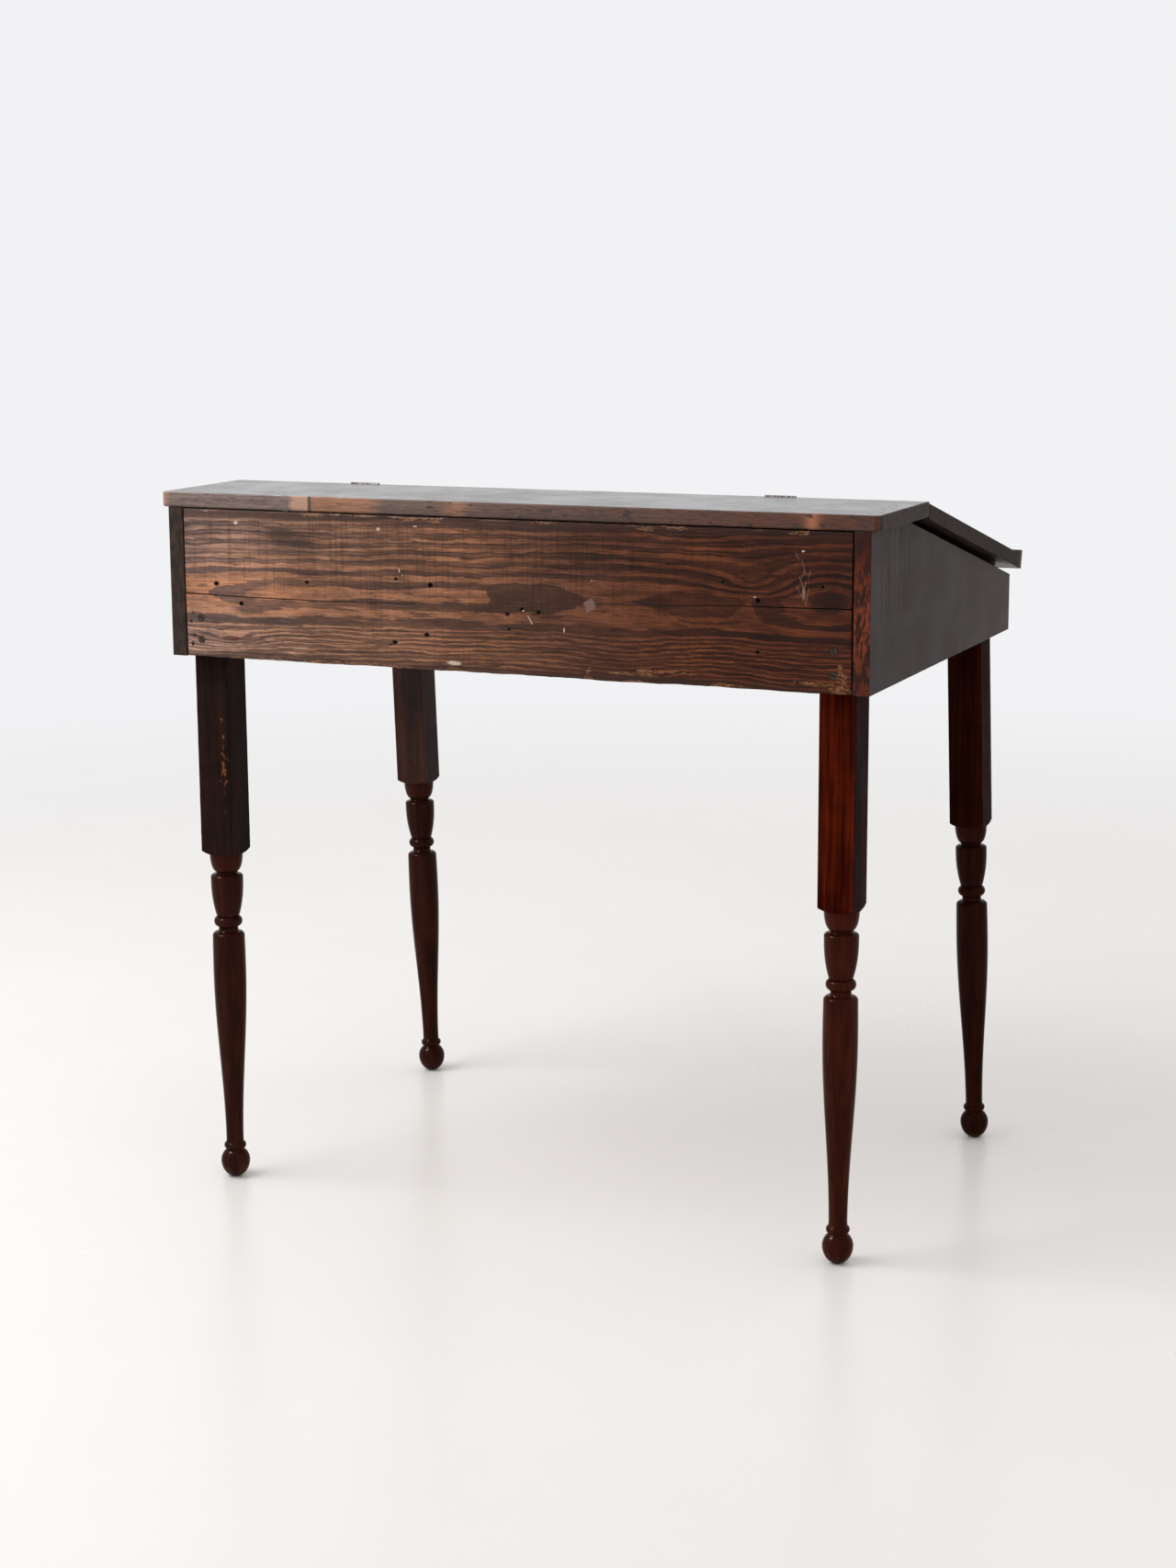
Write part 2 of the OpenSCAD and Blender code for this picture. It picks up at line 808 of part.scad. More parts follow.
module lid_leaf(side) {
    color("#2b2724") difference() {
        translate([side * hinge_x, pin_y, pin_z])
            leaf(-1, 1, 0, pin_run_gap);
        at_hinge_screws(-1) hinge_screw_hole();
    }
}

module hinge_pin(side) {
    color("#4a4540")
        translate([side * hinge_x - hinge_len / 2, pin_y, pin_z])
            rotate([0, 90, 0])
                cylinder(h = hinge_len, r = hinge_pin_r);
}

module hinge_shelf_leaf_left() {
    shelf_leaf(-1);
}

module hinge_shelf_leaf_right() {
    shelf_leaf(1);
}

module hinge_lid_leaf_left() {
    lid_leaf(-1);
}

module hinge_lid_leaf_right() {
    lid_leaf(1);
}

module hinge_pin_left() {
    hinge_pin(-1);
}

module hinge_pin_right() {
    hinge_pin(1);
}

// The fasteners
module hinge_screws_shelf() {
    color("#4a4540") at_hinge_screws(1) hinge_screw();
}

module hinge_screws_lid() {
    color("#4a4540") at_hinge_screws(-1) hinge_screw();
}

module leg_screws_back() {
    color("#4a4540") at_back_screws() leg_screw();
}

module leg_screws_front() {
    color("#4a4540") at_front_screws() leg_screw();
}

module side_nails_left() {
    color("#241d19") at_side_nails(-1) nail();
}

module side_nails_right() {
    color("#241d19") at_side_nails(1) nail();
}

module shelf_nails() {
    color("#241d19") at_shelf_nails() nail();
}

module batten_screws() {
    color("#4a4540") at_batten_screws() batten_screw();
}

module ledge_brads() {
    color("#241d19") at_brads() brad();
}

back_board();
side_board_left();
side_board_right();
front_board();
bottom_board_front();
bottom_board_back();
shelf_board();
lid_board_upper();
lid_board_lower();
lid_batten_left();
lid_batten_right();
pencil_ledge();
leg_back_left();
leg_back_right();
leg_front_left();
leg_front_right();
hinge_shelf_leaf_left();
hinge_shelf_leaf_right();
hinge_lid_leaf_left();
hinge_lid_leaf_right();
hinge_pin_left();
hinge_pin_right();
hinge_screws_shelf();
hinge_screws_lid();
leg_screws_back();
leg_screws_front();
side_nails_left();
side_nails_right();
shelf_nails();
batten_screws();
ledge_brads();
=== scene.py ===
# %% [markdown]
# # A slant top desk, seen from behind
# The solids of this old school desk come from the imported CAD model, and this script gives them
# their looks: rounded and worn arrises, turned legs, cathedral grain, stain, varnish and iron.
# Nothing is moved. A board that gets a worn shape is a copy of its own solid, in its own place.

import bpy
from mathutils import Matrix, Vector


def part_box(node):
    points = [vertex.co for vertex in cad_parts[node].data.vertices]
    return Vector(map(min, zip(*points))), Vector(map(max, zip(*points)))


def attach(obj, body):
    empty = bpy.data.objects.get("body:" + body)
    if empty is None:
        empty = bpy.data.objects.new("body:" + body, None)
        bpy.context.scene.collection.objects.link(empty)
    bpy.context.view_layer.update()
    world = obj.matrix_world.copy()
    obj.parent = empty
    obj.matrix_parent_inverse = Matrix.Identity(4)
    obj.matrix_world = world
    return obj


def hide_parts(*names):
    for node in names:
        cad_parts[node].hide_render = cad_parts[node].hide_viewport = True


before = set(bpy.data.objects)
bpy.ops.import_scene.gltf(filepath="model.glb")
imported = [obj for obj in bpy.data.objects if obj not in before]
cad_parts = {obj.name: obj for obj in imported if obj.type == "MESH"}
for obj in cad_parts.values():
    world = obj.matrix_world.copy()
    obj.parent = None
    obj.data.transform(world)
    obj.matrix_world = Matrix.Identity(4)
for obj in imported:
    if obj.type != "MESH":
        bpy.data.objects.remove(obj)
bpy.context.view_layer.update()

# %% The rest of the tools
import math

import bmesh
import bpy
from mathutils import Matrix, Vector, noise

MM = 0.001

# %% [markdown]
# The desk's main planes are read from the imported parts, so that every finish and every mark
# is placed against the real solids: +X is picture left, +Y faces the camera, and the floor is at
# zero.

# %% Read the main planes
back_low, back_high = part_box("back_board")
shelf_low, shelf_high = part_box("shelf_board")
CASE_BOTTOM = back_low.z
BACK_FACE = back_high.y
BACK_INSIDE = back_low.y
FRONT_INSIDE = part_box("front_board")[1].y
SIDE_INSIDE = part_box("side_board_right")[0].x
SHELF_TOP = shelf_high.z
SHELF_UNDER = shelf_low.z
SHELF_END = shelf_high.x
HALF_INSIDE = round(SIDE_INSIDE / MM)
print("case bottom", round(CASE_BOTTOM, 4), "back face", round(BACK_FACE, 4))
print("shelf top", round(SHELF_TOP, 4), "half the inside width in millimetres", HALF_INSIDE)

# %% [markdown]
# The camera stands where the photograph was taken from. Its place, turn and lens were fitted to
# the corners of the case and the feet. The roll is a third of a degree, and there is no shift.

# %% Set up the camera
CAMERA_PLACE = Vector((-1.4647, 3.4451, 1.2612))
CAMERA_HEADING = 203.422
CAMERA_PITCH = -10.98
CAMERA_ROLL = -0.316
LENS = 62.93
SENSOR = 36.0


def place_camera():
    data = bpy.data.cameras.new("camera")
    data.lens = LENS
    data.sensor_width = SENSOR
    camera = bpy.data.objects.new("camera", data)
    bpy.context.scene.collection.objects.link(camera)
    turn = (
        Matrix.Rotation(math.radians(CAMERA_HEADING), 4, "Z")
        @ Matrix.Rotation(math.radians(90 + CAMERA_PITCH), 4, "X")
        @ Matrix.Rotation(math.radians(CAMERA_ROLL), 4, "Z")
    )
    camera.matrix_world = Matrix.Translation(CAMERA_PLACE) @ turn
    bpy.context.scene.camera = camera
    return camera


camera = place_camera()
print("camera at", tuple(round(c, 3) for c in camera.location))

# %% [markdown]
# A finish is a node material. Writing the nodes one by one hides what the finish is, so a few
# small helpers let a recipe read like arithmetic. A value is the output of a node, and the plain
# signs between values add the nodes that work out the sum.

# %% A value that can be added, multiplied and so on
class Value:
    def __init__(self, recipe, socket):
        self.recipe = recipe
        self.socket = socket

    def __add__(self, other):
        return self.recipe.math("ADD", self, other)

    def __sub__(self, other):
        return self.recipe.math("SUBTRACT", self, other)

    def __rsub__(self, other):
        return self.recipe.math("SUBTRACT", other, self)

    def __mul__(self, other):
        return self.recipe.math("MULTIPLY", self, other)

    def __truediv__(self, other):
        return self.recipe.math("DIVIDE", self, other)

    __radd__ = __add__
    __rmul__ = __mul__


print("signs for values ready")

# %% A helper that writes node recipes
class Recipe:
    def __init__(self, tree):
        self.tree = tree

    def node(self, kind, inputs, output=0, **settings):
        """Adds a node, joins its inputs and hands back one of its outputs."""
        node = self.tree.nodes.new(kind)
        for key, setting in settings.items():
            setattr(node, key, setting)
        for key, value in inputs.items():
            self.join(value, node.inputs[key])
        return Value(self, node.outputs[output])

    def join(self, value, socket):
        if isinstance(value, Value):
            self.tree.links.new(value.socket, socket)
        elif isinstance(value, tuple) and len(socket.default_value) == 4:
            socket.default_value = (*value, 1.0)
        else:
            socket.default_value = value

    def math(self, operation, first, second=0.0):
        return self.node("ShaderNodeMath", {0: first, 1: second}, operation=operation)

    def larger(self, first, second):
        return self.math("MAXIMUM", first, second)

    def seen(self):
        """1 for the rays of the camera, of gloss and of glass, and 0 for those that light things."""
        rays = self.node("ShaderNodeLightPath", {}).socket.node.outputs
        camera, glossy, clear = [
            Value(self, rays[f"Is {kind} Ray"]) for kind in ("Camera", "Glossy", "Transmission")
        ]
        return self.larger(self.larger(camera, glossy), clear)

    def blend(self, share, first, second, output):
        """Mixes two shaders into the tree's output."""
        shader = self.node("ShaderNodeMixShader", {0: share, 1: first, 2: second})
        self.join(shader, self.tree.nodes[output].inputs["Surface"])


print("recipe ready")

# %% A helper for the finishes
class Finish(Recipe):
    """A material. px, py and pz are the place on the desk in metres, and x and h the same in
    millimetres, h above the lower edge of the case."""

    def __init__(self, name):
        self.material = bpy.data.materials.new(name)
        self.material.use_nodes = True
        super().__init__(self.material.node_tree)
        self.shader = self.tree.nodes["Principled BSDF"]
        self.place = self.node("ShaderNodeTexCoord", {}, "Object")
        axes = self.node("ShaderNodeSeparateXYZ", {0: self.place}).socket.node.outputs
        self.px, self.py, self.pz = [Value(self, axis) for axis in axes]
        self.x = self.px * (1 / MM)
        self.h = (self.pz - CASE_BOTTOM) * (1 / MM)

    def size(self, value):
        return self.math("ABSOLUTE", value)

    def length(self, across, up):
        return self.math("SQRT", across * across + up * up)

    def stir(self, grain, amount):
        """Noise lies near 0.5. This moves it to lie about zero, and scales it."""
        return (grain - 0.5) * amount

    def rise(self, value, low, high, start=0.0, end=1.0):
        """A smooth rise from start to end while value goes from low to high."""
        ends = {"Value": value, "From Min": low, "From Max": high, "To Min": start, "To Max": end}
        return self.node("ShaderNodeMapRange", ends, interpolation_type="SMOOTHSTEP")

    def fall(self, value, low, high):
        return self.rise(value, low, high, 1.0, 0.0)

    def past(self, value, plane, low, high, start=0.0, end=1.0):
        """The same rise, with low and high as millimetres past a plane."""
        return self.rise(value, plane + low * MM, plane + high * MM, start, end)

    def before(self, value, plane, low, high):
        return self.past(value, plane, low, high, 1.0, 0.0)

    def spread(self, grain, start, end):
        """Turns the range that noise mostly fills into the range from start to end."""
        return self.rise(grain, 0.3, 0.7, start, end)

    def hump(self, value, middle, width):
        """A bell curve that is 1 at middle and fades over width."""
        away = (value - middle) / width
        return self.math("EXPONENT", away * away * -1.0)

    def point(self, x, y, z):
        return self.node("ShaderNodeCombineXYZ", {0: x, 1: y, 2: z})

    def noise(self, scale, detail, roughness, vector=None, distortion=0.0):
        inputs = {"Vector": vector or self.place, "Scale": scale, "Detail": detail}
        inputs |= {"Roughness": roughness, "Distortion": distortion}
        return self.node("ShaderNodeTexNoise", inputs)

    def stretch(self, vector, amounts):
        return self.node("ShaderNodeVectorMath", {0: vector, 1: amounts}, operation="MULTIPLY")

    def fine(self, amounts, detail, roughness, vector=None, distortion=0.0):
        """Noise with its own scale along each axis, for fibre, streaks and scratches."""
        stretched = self.stretch(vector or self.place, amounts)
        return self.noise(1.0, detail, roughness, stretched, distortion)

    def ramp(self, value, stops):
        made = self.node("ShaderNodeValToRGB", {0: value})
        band = made.socket.node.color_ramp
        while len(band.elements) < len(stops):
            band.elements.new(0.5)
        for element, (place, colour) in zip(band.elements, stops):
            element.position = place
            element.color = (*colour, 1.0)
        return made

    def mix(self, share, first, second):
        return self.node("ShaderNodeMix", {0: share, 6: first, 7: second}, 2, data_type="RGBA")

    def shade(self, colour, amount):
        """Darkens or lightens a colour by an amount around 1."""
        return self.node("ShaderNodeVectorMath", {0: colour, "Scale": amount}, operation="SCALE")

    def own(self, attribute):
        return self.node("ShaderNodeAttribute", {}, "Fac", attribute_name=attribute)

    def bump(self, height, depth, strength):
        """Small dents in the shading. depth is in millimetres."""
        inputs = {"Strength": strength, "Distance": depth * MM, "Height": height}
        return self.node("ShaderNodeBump", inputs)

    def finish(self, colour, roughness, normal=None, shine=0.5):
        inputs = {"Base Color": colour, "Roughness": roughness, "Specular IOR Level": shine}
        if normal is not None:
            inputs["Normal"] = normal
        for key, value in inputs.items():
            self.join(value, self.shader.inputs[key])
        return self.material


print("finish helper ready")

# %% [markdown]
# The studio is one pale floor, which fades at a distance into the pale background, one large
# soft window high at picture left, and an even white surround. The shadows in the photograph
# run off to the right and back from that window, and are faint, so the surround does most.
# One bright pane in the window lights no surface, and only shows as the small highlights on
# the turned parts.

# %% Lay the floor
FLOOR_COLOUR = (0.92, 0.892, 0.866)
BACKGROUND = (0.885, 0.888, 0.905)
FLOOR_RADIUS = 14
FLOOR_SHINE = 0.3
FADE_FROM = 1.6
FADE_TO = 4.5


def floor_finish():
    f = Finish("painted_floor")
    cloud = f.noise(2.6, 4, 0.6)
    paint = f.mix(f.rise(cloud, 0.35, 0.7), FLOOR_COLOUR, tuple(c * 0.985 for c in FLOOR_COLOUR))
    f.finish(paint, f.spread(cloud, 0.27, 0.32), shine=FLOOR_SHINE)
    share = f.rise(f.length(f.px, f.py), FADE_FROM, FADE_TO) * f.seen()
    glow = f.node("ShaderNodeEmission", {"Color": BACKGROUND})
    f.blend(share, Value(f, f.shader.outputs[0]), glow, "Material Output")
    return f.material


def lay_floor():
    bm = bmesh.new()
    bmesh.ops.create_circle(bm, cap_ends=True, cap_tris=False, segments=64, radius=FLOOR_RADIUS)
    mesh = bpy.data.meshes.new("floor")
    bm.to_mesh(mesh)
    bm.free()
    mesh.materials.append(floor_finish())
    floor = bpy.data.objects.new("floor", mesh)
    bpy.context.scene.collection.objects.link(floor)


lay_floor()
print("floor radius", FLOOR_RADIUS)

# %% Hang the window light
WINDOW_TOWARDS = Vector((0.597, 0.425, 0.685)).normalized()
WINDOW_AWAY = 3.2
LIT_POINT = Vector((0, 0, 0.5))


def hang_light(name, size, power):
    data = bpy.data.lights.new(name, "AREA")
    data.shape = "SQUARE"
    data.size = size
    data.energy = power
    light = bpy.data.objects.new(name, data)
    light.location = LIT_POINT + WINDOW_TOWARDS * WINDOW_AWAY
    light.rotation_euler = WINDOW_TOWARDS.to_track_quat("Z", "Y").to_euler()
    bpy.context.scene.collection.objects.link(light)
    return light


window = hang_light("window", 2, 49)
bright_pane = hang_light("bright_pane", 0.5, 250)
bright_pane.visible_diffuse = False
print("window at", tuple(round(c, 2) for c in window.location))

# %% [markdown]
# The camera, and every glossy or clear surface, sees one pale even surround. What falls on the
# desk as light is a little weaker, so that dark stain stays dark and the floor doesn't clip.

# %% Set the surround
SURROUND_LIGHT = 0.78


def set_surround():
    world = bpy.data.worlds.new("surround")
    world.use_nodes = True
    bpy.context.scene.world = world
    f = Recipe(world.node_tree)
    pale = f.tree.nodes["Background"]
    f.join(BACKGROUND, pale.inputs["Color"])
    light = f.node("ShaderNodeBackground", {"Color": (1, 1, 1), "Strength": SURROUND_LIGHT})
    f.blend(f.seen(), light, Value(f, pale.outputs[0]), "World Output")


set_surround()
bpy.context.scene.view_settings.view_transform = "Standard"
print("surround", SURROUND_LIGHT)

# %% [markdown]
# ## The boards
# A CAD board is sharp and loose: every triangle stands alone. A worn board starts as a merged
# copy of it, so that it keeps every hole, split and mortise. Its long arrises are marked, the
# board is sliced across, and only then the marked arrises are rounded, so each rounded edge gets
# a row of points at every slice. Those points can then be pushed in by noise, as hands and
# floors wear a real edge. A Bevel modifier alone would leave every arris equally perfect.

# %% Copy a CAD board as one joined mesh
MERGE = 0.01 * MM
SNAP = 0.001 * MM
FLAT_ANGLE = math.radians(0.5)
SHARP_ANGLE = math.radians(30)


def joined(node):
    bm = bmesh.new()
    bm.verts.layers.float.new("wear")
    bm.from_mesh(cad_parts[node].data)
    bmesh.ops.remove_doubles(bm, verts=bm.verts, dist=MERGE)
    bmesh.ops.dissolve_limit(bm, angle_limit=FLAT_ANGLE, verts=bm.verts, edges=bm.edges)
    return bm


def slices(bm, normal, places):
    normal = Vector(normal).normalized()
    for place in places:
        everything = bm.verts[:] + bm.edges[:] + bm.faces[:]
        bmesh.ops.bisect_plane(
            bm, geom=everything, dist=SNAP, plane_co=normal * place, plane_no=normal
        )


def steps(low, high, gap):
    count = max(1, round((high - low) / gap))
    return [low + (high - low) * i / count for i in range(1, count)]


def mark_arrises(bm, wanted):
    """Marks the sharp edges that wanted(edge) picks. Both halves of a cut edge keep the mark."""
    for edge in bm.edges:
        if len(edge.link_faces) == 2 and edge.calc_face_angle() > SHARP_ANGLE and wanted(edge):
            edge.seam = True


print("nodes to dress", len(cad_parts))

# %% Round and wear the marked arrises
def round_arrises(bm, radius):
    for face in bm.faces:
        face.smooth = False
    marked = [edge for edge in bm.edges if edge.seam]
    made = bmesh.ops.bevel(
        bm, geom=marked, offset=radius, offset_type="OFFSET", segments=3,
        profile=0.5, affect="EDGES", clamp_overlap=True, material=-1,
    )
    for face in made["faces"]:
        face.smooth = True
    return set(v for face in made["faces"] for v in face.verts)


def within_rounding(rounded):
    """The rounded points that touch no flat face."""
    return set(v for v in rounded if all(face.smooth for face in v.link_faces))


def wear_down(bm, rounded, depth, scale, seed):
    """Pushes rounded points in by noise, and keeps how far as the attribute wear."""
    layer = bm.verts.layers.float["wear"]
    bm.normal_update()
    for v in rounded:
        rough = noise.fractal(v.co * scale + Vector((seed, 0, 0)), 0.7, 2.0, 3)
        share = min(1, max(0, 0.25 + 0.9 * rough))
        v.co -= v.normal * depth * share
        v[layer] = share


def finished(name, bm, material, body, node):
    mesh = bpy.data.meshes.new(name)
    bm.to_mesh(mesh)
    bm.free()
    for finish in material if isinstance(material, tuple) else (material,):
        mesh.materials.append(finish)
    piece = bpy.data.objects.new(name, mesh)
    bpy.context.scene.collection.objects.link(piece)
    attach(piece, body)
    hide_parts(node)
    print(name, len(mesh.polygons), "faces")


# %% [markdown]
# ## The back board
# One wide, flat-sawn pine board carries the whole look of the desk. Where the saw ran nearly
# along the growth rings, each ring comes out as a long tongue or oval, and towards both edges of
# the board the rings close up to thin even lines. A Wave texture can't do that. Here the ring
# count is worked out as a field: a valley along the middle line of the tongues, whose floor
# rises and falls along the board. Each whole number that the field passes is one ring.

# %% Make the growth rings of the back board
HEART_HEIGHT = 97
HEART_FALL = 0.024
FAR_LEVEL = 0.2
GAP_LEVEL = 1.17
TONGUE_TIP = -115
TONGUE_CORE_END = 14
TONGUE_ROOT = 428
OVAL_TIP = -172
OVAL_END = -326
DARK_END = -334
PINCH = -337
ARCH = -283


def ring_field(f, ragged):
    """Counts the growth rings at each place on the board."""
    sway = f.noise(1, 3, 0.55, f.point(f.x * 0.006, f.h * 0.02, 0))
    heart = HEART_HEIGHT - f.x * HEART_FALL
    ripple = f.noise(1, 3, 0.6, f.point(f.x * 0.017, f.h * 0.052, 7))
    away = f.h - heart + f.stir(sway, 12) + f.stir(ripple, 9)
    above = f.larger(away, 0)
    pinch = f.hump(f.x, PINCH, 46) * f.hump(above, 10, 26)
    above = above * (1 + pinch * 1.3)
    sag = f.rise(f.x, -200, -60, 8, 0)
    below = f.larger(away * -1 - sag, 0)
    below = below + f.hump(f.x, ARCH, 85) * 9
    upper = above * above * 0.0935 / (above + 26)
    closer = f.larger(below - 40, 0) * 0.13
    lower = below * 0.042 + closer
    rings = upper + lower + FAR_LEVEL
    size = f.size(away) + f.stir(ragged, 7)
    square = size * size
    tip = f.x - TONGUE_TIP - square * 0.15
    core = f.x - TONGUE_CORE_END - square * 0.1
    root = TONGUE_ROOT - f.x - square * 0.28
    oval_tip = OVAL_TIP - f.x - size * 4
    oval_end = f.x - OVAL_END - size * 1.2
    dark_end = DARK_END - f.x - size * 0.8
    tongue = f.rise(tip, -7, 7) * f.rise(root, -7, 7)
    hollow = f.rise(core, -12, 12) * f.rise(root, 48, 72)
    oval = f.rise(oval_tip, -8, 8) * f.rise(oval_end, -6, 6)
    dark = f.rise(dark_end, -6, 6)
    level = GAP_LEVEL - tongue * 0.45 - hollow * 0.52 - oval * 0.45 - dark * 0.5
    return f.larger(rings, level) + f.stir(ragged, 0.36)


def knot_pull(f, across, up, wide, tall, depth):
    """The rings bend round a knot: a small deep hollow in the count."""
    return f.hump(f.x, across, wide) * f.hump(f.h, up, tall) * -depth


print("ring field ready")

# %% [markdown]
# Old stain has sunk in unevenly, and the board has faded most at its light end, so the two
# tones of the grain go from tan and grey-brown at picture left to red-brown and near black at
# the right. Part of that change is painted light: the window's broad sheen, which lightens and
# greys the board towards picture left, is painted into both tones. Dark late wood grows slowly
# into each ring and ends at once.

# %% Stain, splits and old nail holes
# Both tone ramps run along the board and hold painted sheen as well as stain: lighter and greyer
# towards picture left.
PALE_TONES_WITH_SHEEN = (
    (0, (0.08, 0.018, 0.0065)), (0.22, (0.134, 0.037, 0.0135)), (0.42, (0.134, 0.051, 0.027)),
    (0.55, (0.278, 0.114, 0.057)), (0.78, (0.345, 0.17, 0.1)), (1, (0.385, 0.23, 0.17)),
)
DARK_TONES_WITH_SHEEN = (
    (0, (0.017, 0.0042, 0.0022)), (0.22, (0.028, 0.0075, 0.0038)), (0.42, (0.041, 0.017, 0.0105)),
    (0.55, (0.068, 0.032, 0.022)), (0.78, (0.098, 0.053, 0.041)), (1, (0.118, 0.074, 0.064)),
)
EDGE_TONES = ((0, (0.026, 0.009, 0.006)), (1, (0.052, 0.03, 0.025)))
HEART_TAN = (0.385, 0.168, 0.086)
INSIDE_PALE = (0.36, 0.22, 0.125)
INSIDE_DARK = (0.22, 0.115, 0.06)
KNOT_RED = (0.07, 0.014, 0.009)
SMUDGE_DARK = (0.04, 0.024, 0.019)
HOLE_DARK = (0.012, 0.007, 0.006)
SPLIT_AND_RIM_SHADE = (0.014, 0.008, 0.006)
SCRAPED_WOOD = (0.33, 0.235, 0.185)
OLD_PAINT = (0.56, 0.47, 0.38)
PALE_SQUARE = (0.205, 0.12, 0.102)
TORN_TONES = ((0, (0.29, 0.135, 0.05)), (1, (0.32, 0.155, 0.084)))
HOLLOW_SHADE = (0.008, 0.005, 0.004)
NAIL_HOLES = (
    (415, 99, 2.2), (378, 74, 2.1), (279, 106, 1.4), (152, 34, 1.9), (149, 116, 1.2), (106, 46, 1.9),
    (100, 110, 2.3), (-8, 78, 1.5), (-10, 59, 1.1), (-28, 85, 1.7), (-51, 82, 1.8), (-298, 131, 1.4),
    (-343, 110, 2.4), (-343, 47, 1.6), (-425, 130, 1.5),
)


def blot(f, across, up, half_wide, half_tall, ragged, rough=2.2):
    """A ragged-edged spot: 1 inside, 0 outside."""
    u = (f.x - across) / half_wide
    w = (f.h - up) / half_tall
    return f.fall(u * u + w * w + f.stir(ragged, rough), 0.7, 1.3)


def blots(f, spots, ragged, rough=2.2):
    """Several spots as one mask."""
    mask = 0
    for across, up, half_wide, half_tall in spots:
        mask = f.larger(mask, blot(f, across, up, half_wide, half_tall, ragged, rough))
    return mask


def scratch(f, start, end, wide):
    """A thin straight scratch between two points."""
    dx = end[0] - start[0]
    dh = end[1] - start[1]
    length = math.hypot(dx, dh)
    across = f.x - start[0]
    up = f.h - start[1]
    along = across * (dx / length) + up * (dh / length)
    off = f.size(across * (dh / length) - up * (dx / length))
    inside = f.rise(along, -1, 1) * f.fall(along, length - 2, length)
    return f.fall(off, wide * 0.5, wide) * inside


print("blemish helpers ready")

# %% Specks, flakes and scrapes
PAINT_SPECKS = (
    (383, 180, 3, 2.4), (173, 179, 2.6, 2.2), (120, 184, 2.8, 1), (-124, 125, 1, 0.8),
    (-400, 172, 1.9, 1), (144, 127, 0.8, 2.4), (140, 121, 0.8, 1), (68, 11.5, 10, 2.6),
    (-86, 61, 0.9, 3.2), (-30, 83, 1.6, 1), (-339, 114, 1.4, 1.1),
)
PALE_FLAKES = (
    (-119, 14, 4.6, 4.2), (-183, 11, 26, 2.2), (-160, 10.5, 12, 1.8), (-215, 16, 40, 1.6),
    (215, 2, 80, 3.2), (-300, 3, 20, 2.6), (-448, 7, 14, 5), (-420, 12, 26, 2.4), (268, 194, 20, 2.4),
    (130, 193, 18, 2.4), (92, 192, 11, 2.6), (-195, 192, 10, 2.6), (-240, 193, 14, 1.6),
    (-393, 193, 14, 1.6), (330, 2.5, 24, 2), (-60, 194, 20, 1.2),
)
SCREW_WORN = ((-450, 20, 6, 9), (-448, 34, 3, 3))
GOUGES = (
    (451, 29, 3.4, 1.6), (455, 47, 1.6, 2.6), (452, 59, 1.8, 1.4), (454, 17, 2.6, 3.2),
    (152, 34, 4.8, 1.6), (158, 31, 3.5, 1.4),
)
KNOTS = ((-432, 117, 40, 30, 1.1), (394, 26, 42, 11, 2.4))
BACK_SCREWS = ((-440, 23, 35), (-440, 52, -18), (440, 23, 20), (440, 52, 33))
LONG_SPLIT = ((464, 84), (349, 82.5), (279, 82.5), (194, 83.3), (120, 85))
HIGH_SPLIT = ((-464, 104), (-348, 102.5), (-321, 102.5), (-215, 98.5), (-130, 96))
SCRAPES = (
    (-390, 171, -396, 160), (-398, 162, -404, 143), (-402, 150, -396, 134), (-395, 142, -404, 121),
    (-404, 135, -400, 113), (-408, 128, -403, 105), (-392, 130, -399, 117), (-410, 150, -406, 138),
)


def dark_line(f, points, wide):
    """A thin line through several points, 1 on the line."""
    mask = 0
    for start, end in zip(points, points[1:]):
        mask = f.larger(mask, scratch(f, start, end, wide))
    return mask


print("blemishes", len(PAINT_SPECKS) + len(PALE_FLAKES) + len(GOUGES) + len(SCRAPES))

# %% Late wood in the growth rings
def late_wood(f, fibre, streak):
    """How much dark late wood lies at each place, from 0 to 1."""
    rings = ring_field(f, f.fine((34, 60, 330), 3, 0.6))
    for knot in KNOTS:
        rings = rings + knot_pull(f, *knot)
    part = f.math("FRACT", rings)
    thick = f.noise(1, 3, 0.6, f.point(f.px * 10, rings * 1.2, 3))
    start = f.rise(rings, 1.2, 3.5, 0.44, 0.34) + f.stir(thick, 0.75)
    late = f.rise(part - start, -0.03, 0.06) * f.fall(part, 0.92, 1)
    outer = f.rise(rings, 1.6, 3) * f.rise(streak, 0.42, 0.6)
    half_line = f.hump(part, 0.66, 0.07) * outer
    late = late * (1 - half_line * 0.7)
    own_tone = f.noise(1, 2, 0.5, f.point(f.px * 4, rings * 1.9, 0))
    late = late * (f.rise(own_tone, 0.3, 0.6, 0.62, 1) + f.stir(fibre, 0.8))
    late = f.larger(f.math("MINIMUM", late, 1), f.rise(fibre, 0.5, 0.68, 0, 0.62))
    patch = f.fine((10, 30, 85), 4, 0.62)
    return f.larger(late, f.rise(patch, 0.585, 0.625, 0, 0.75))


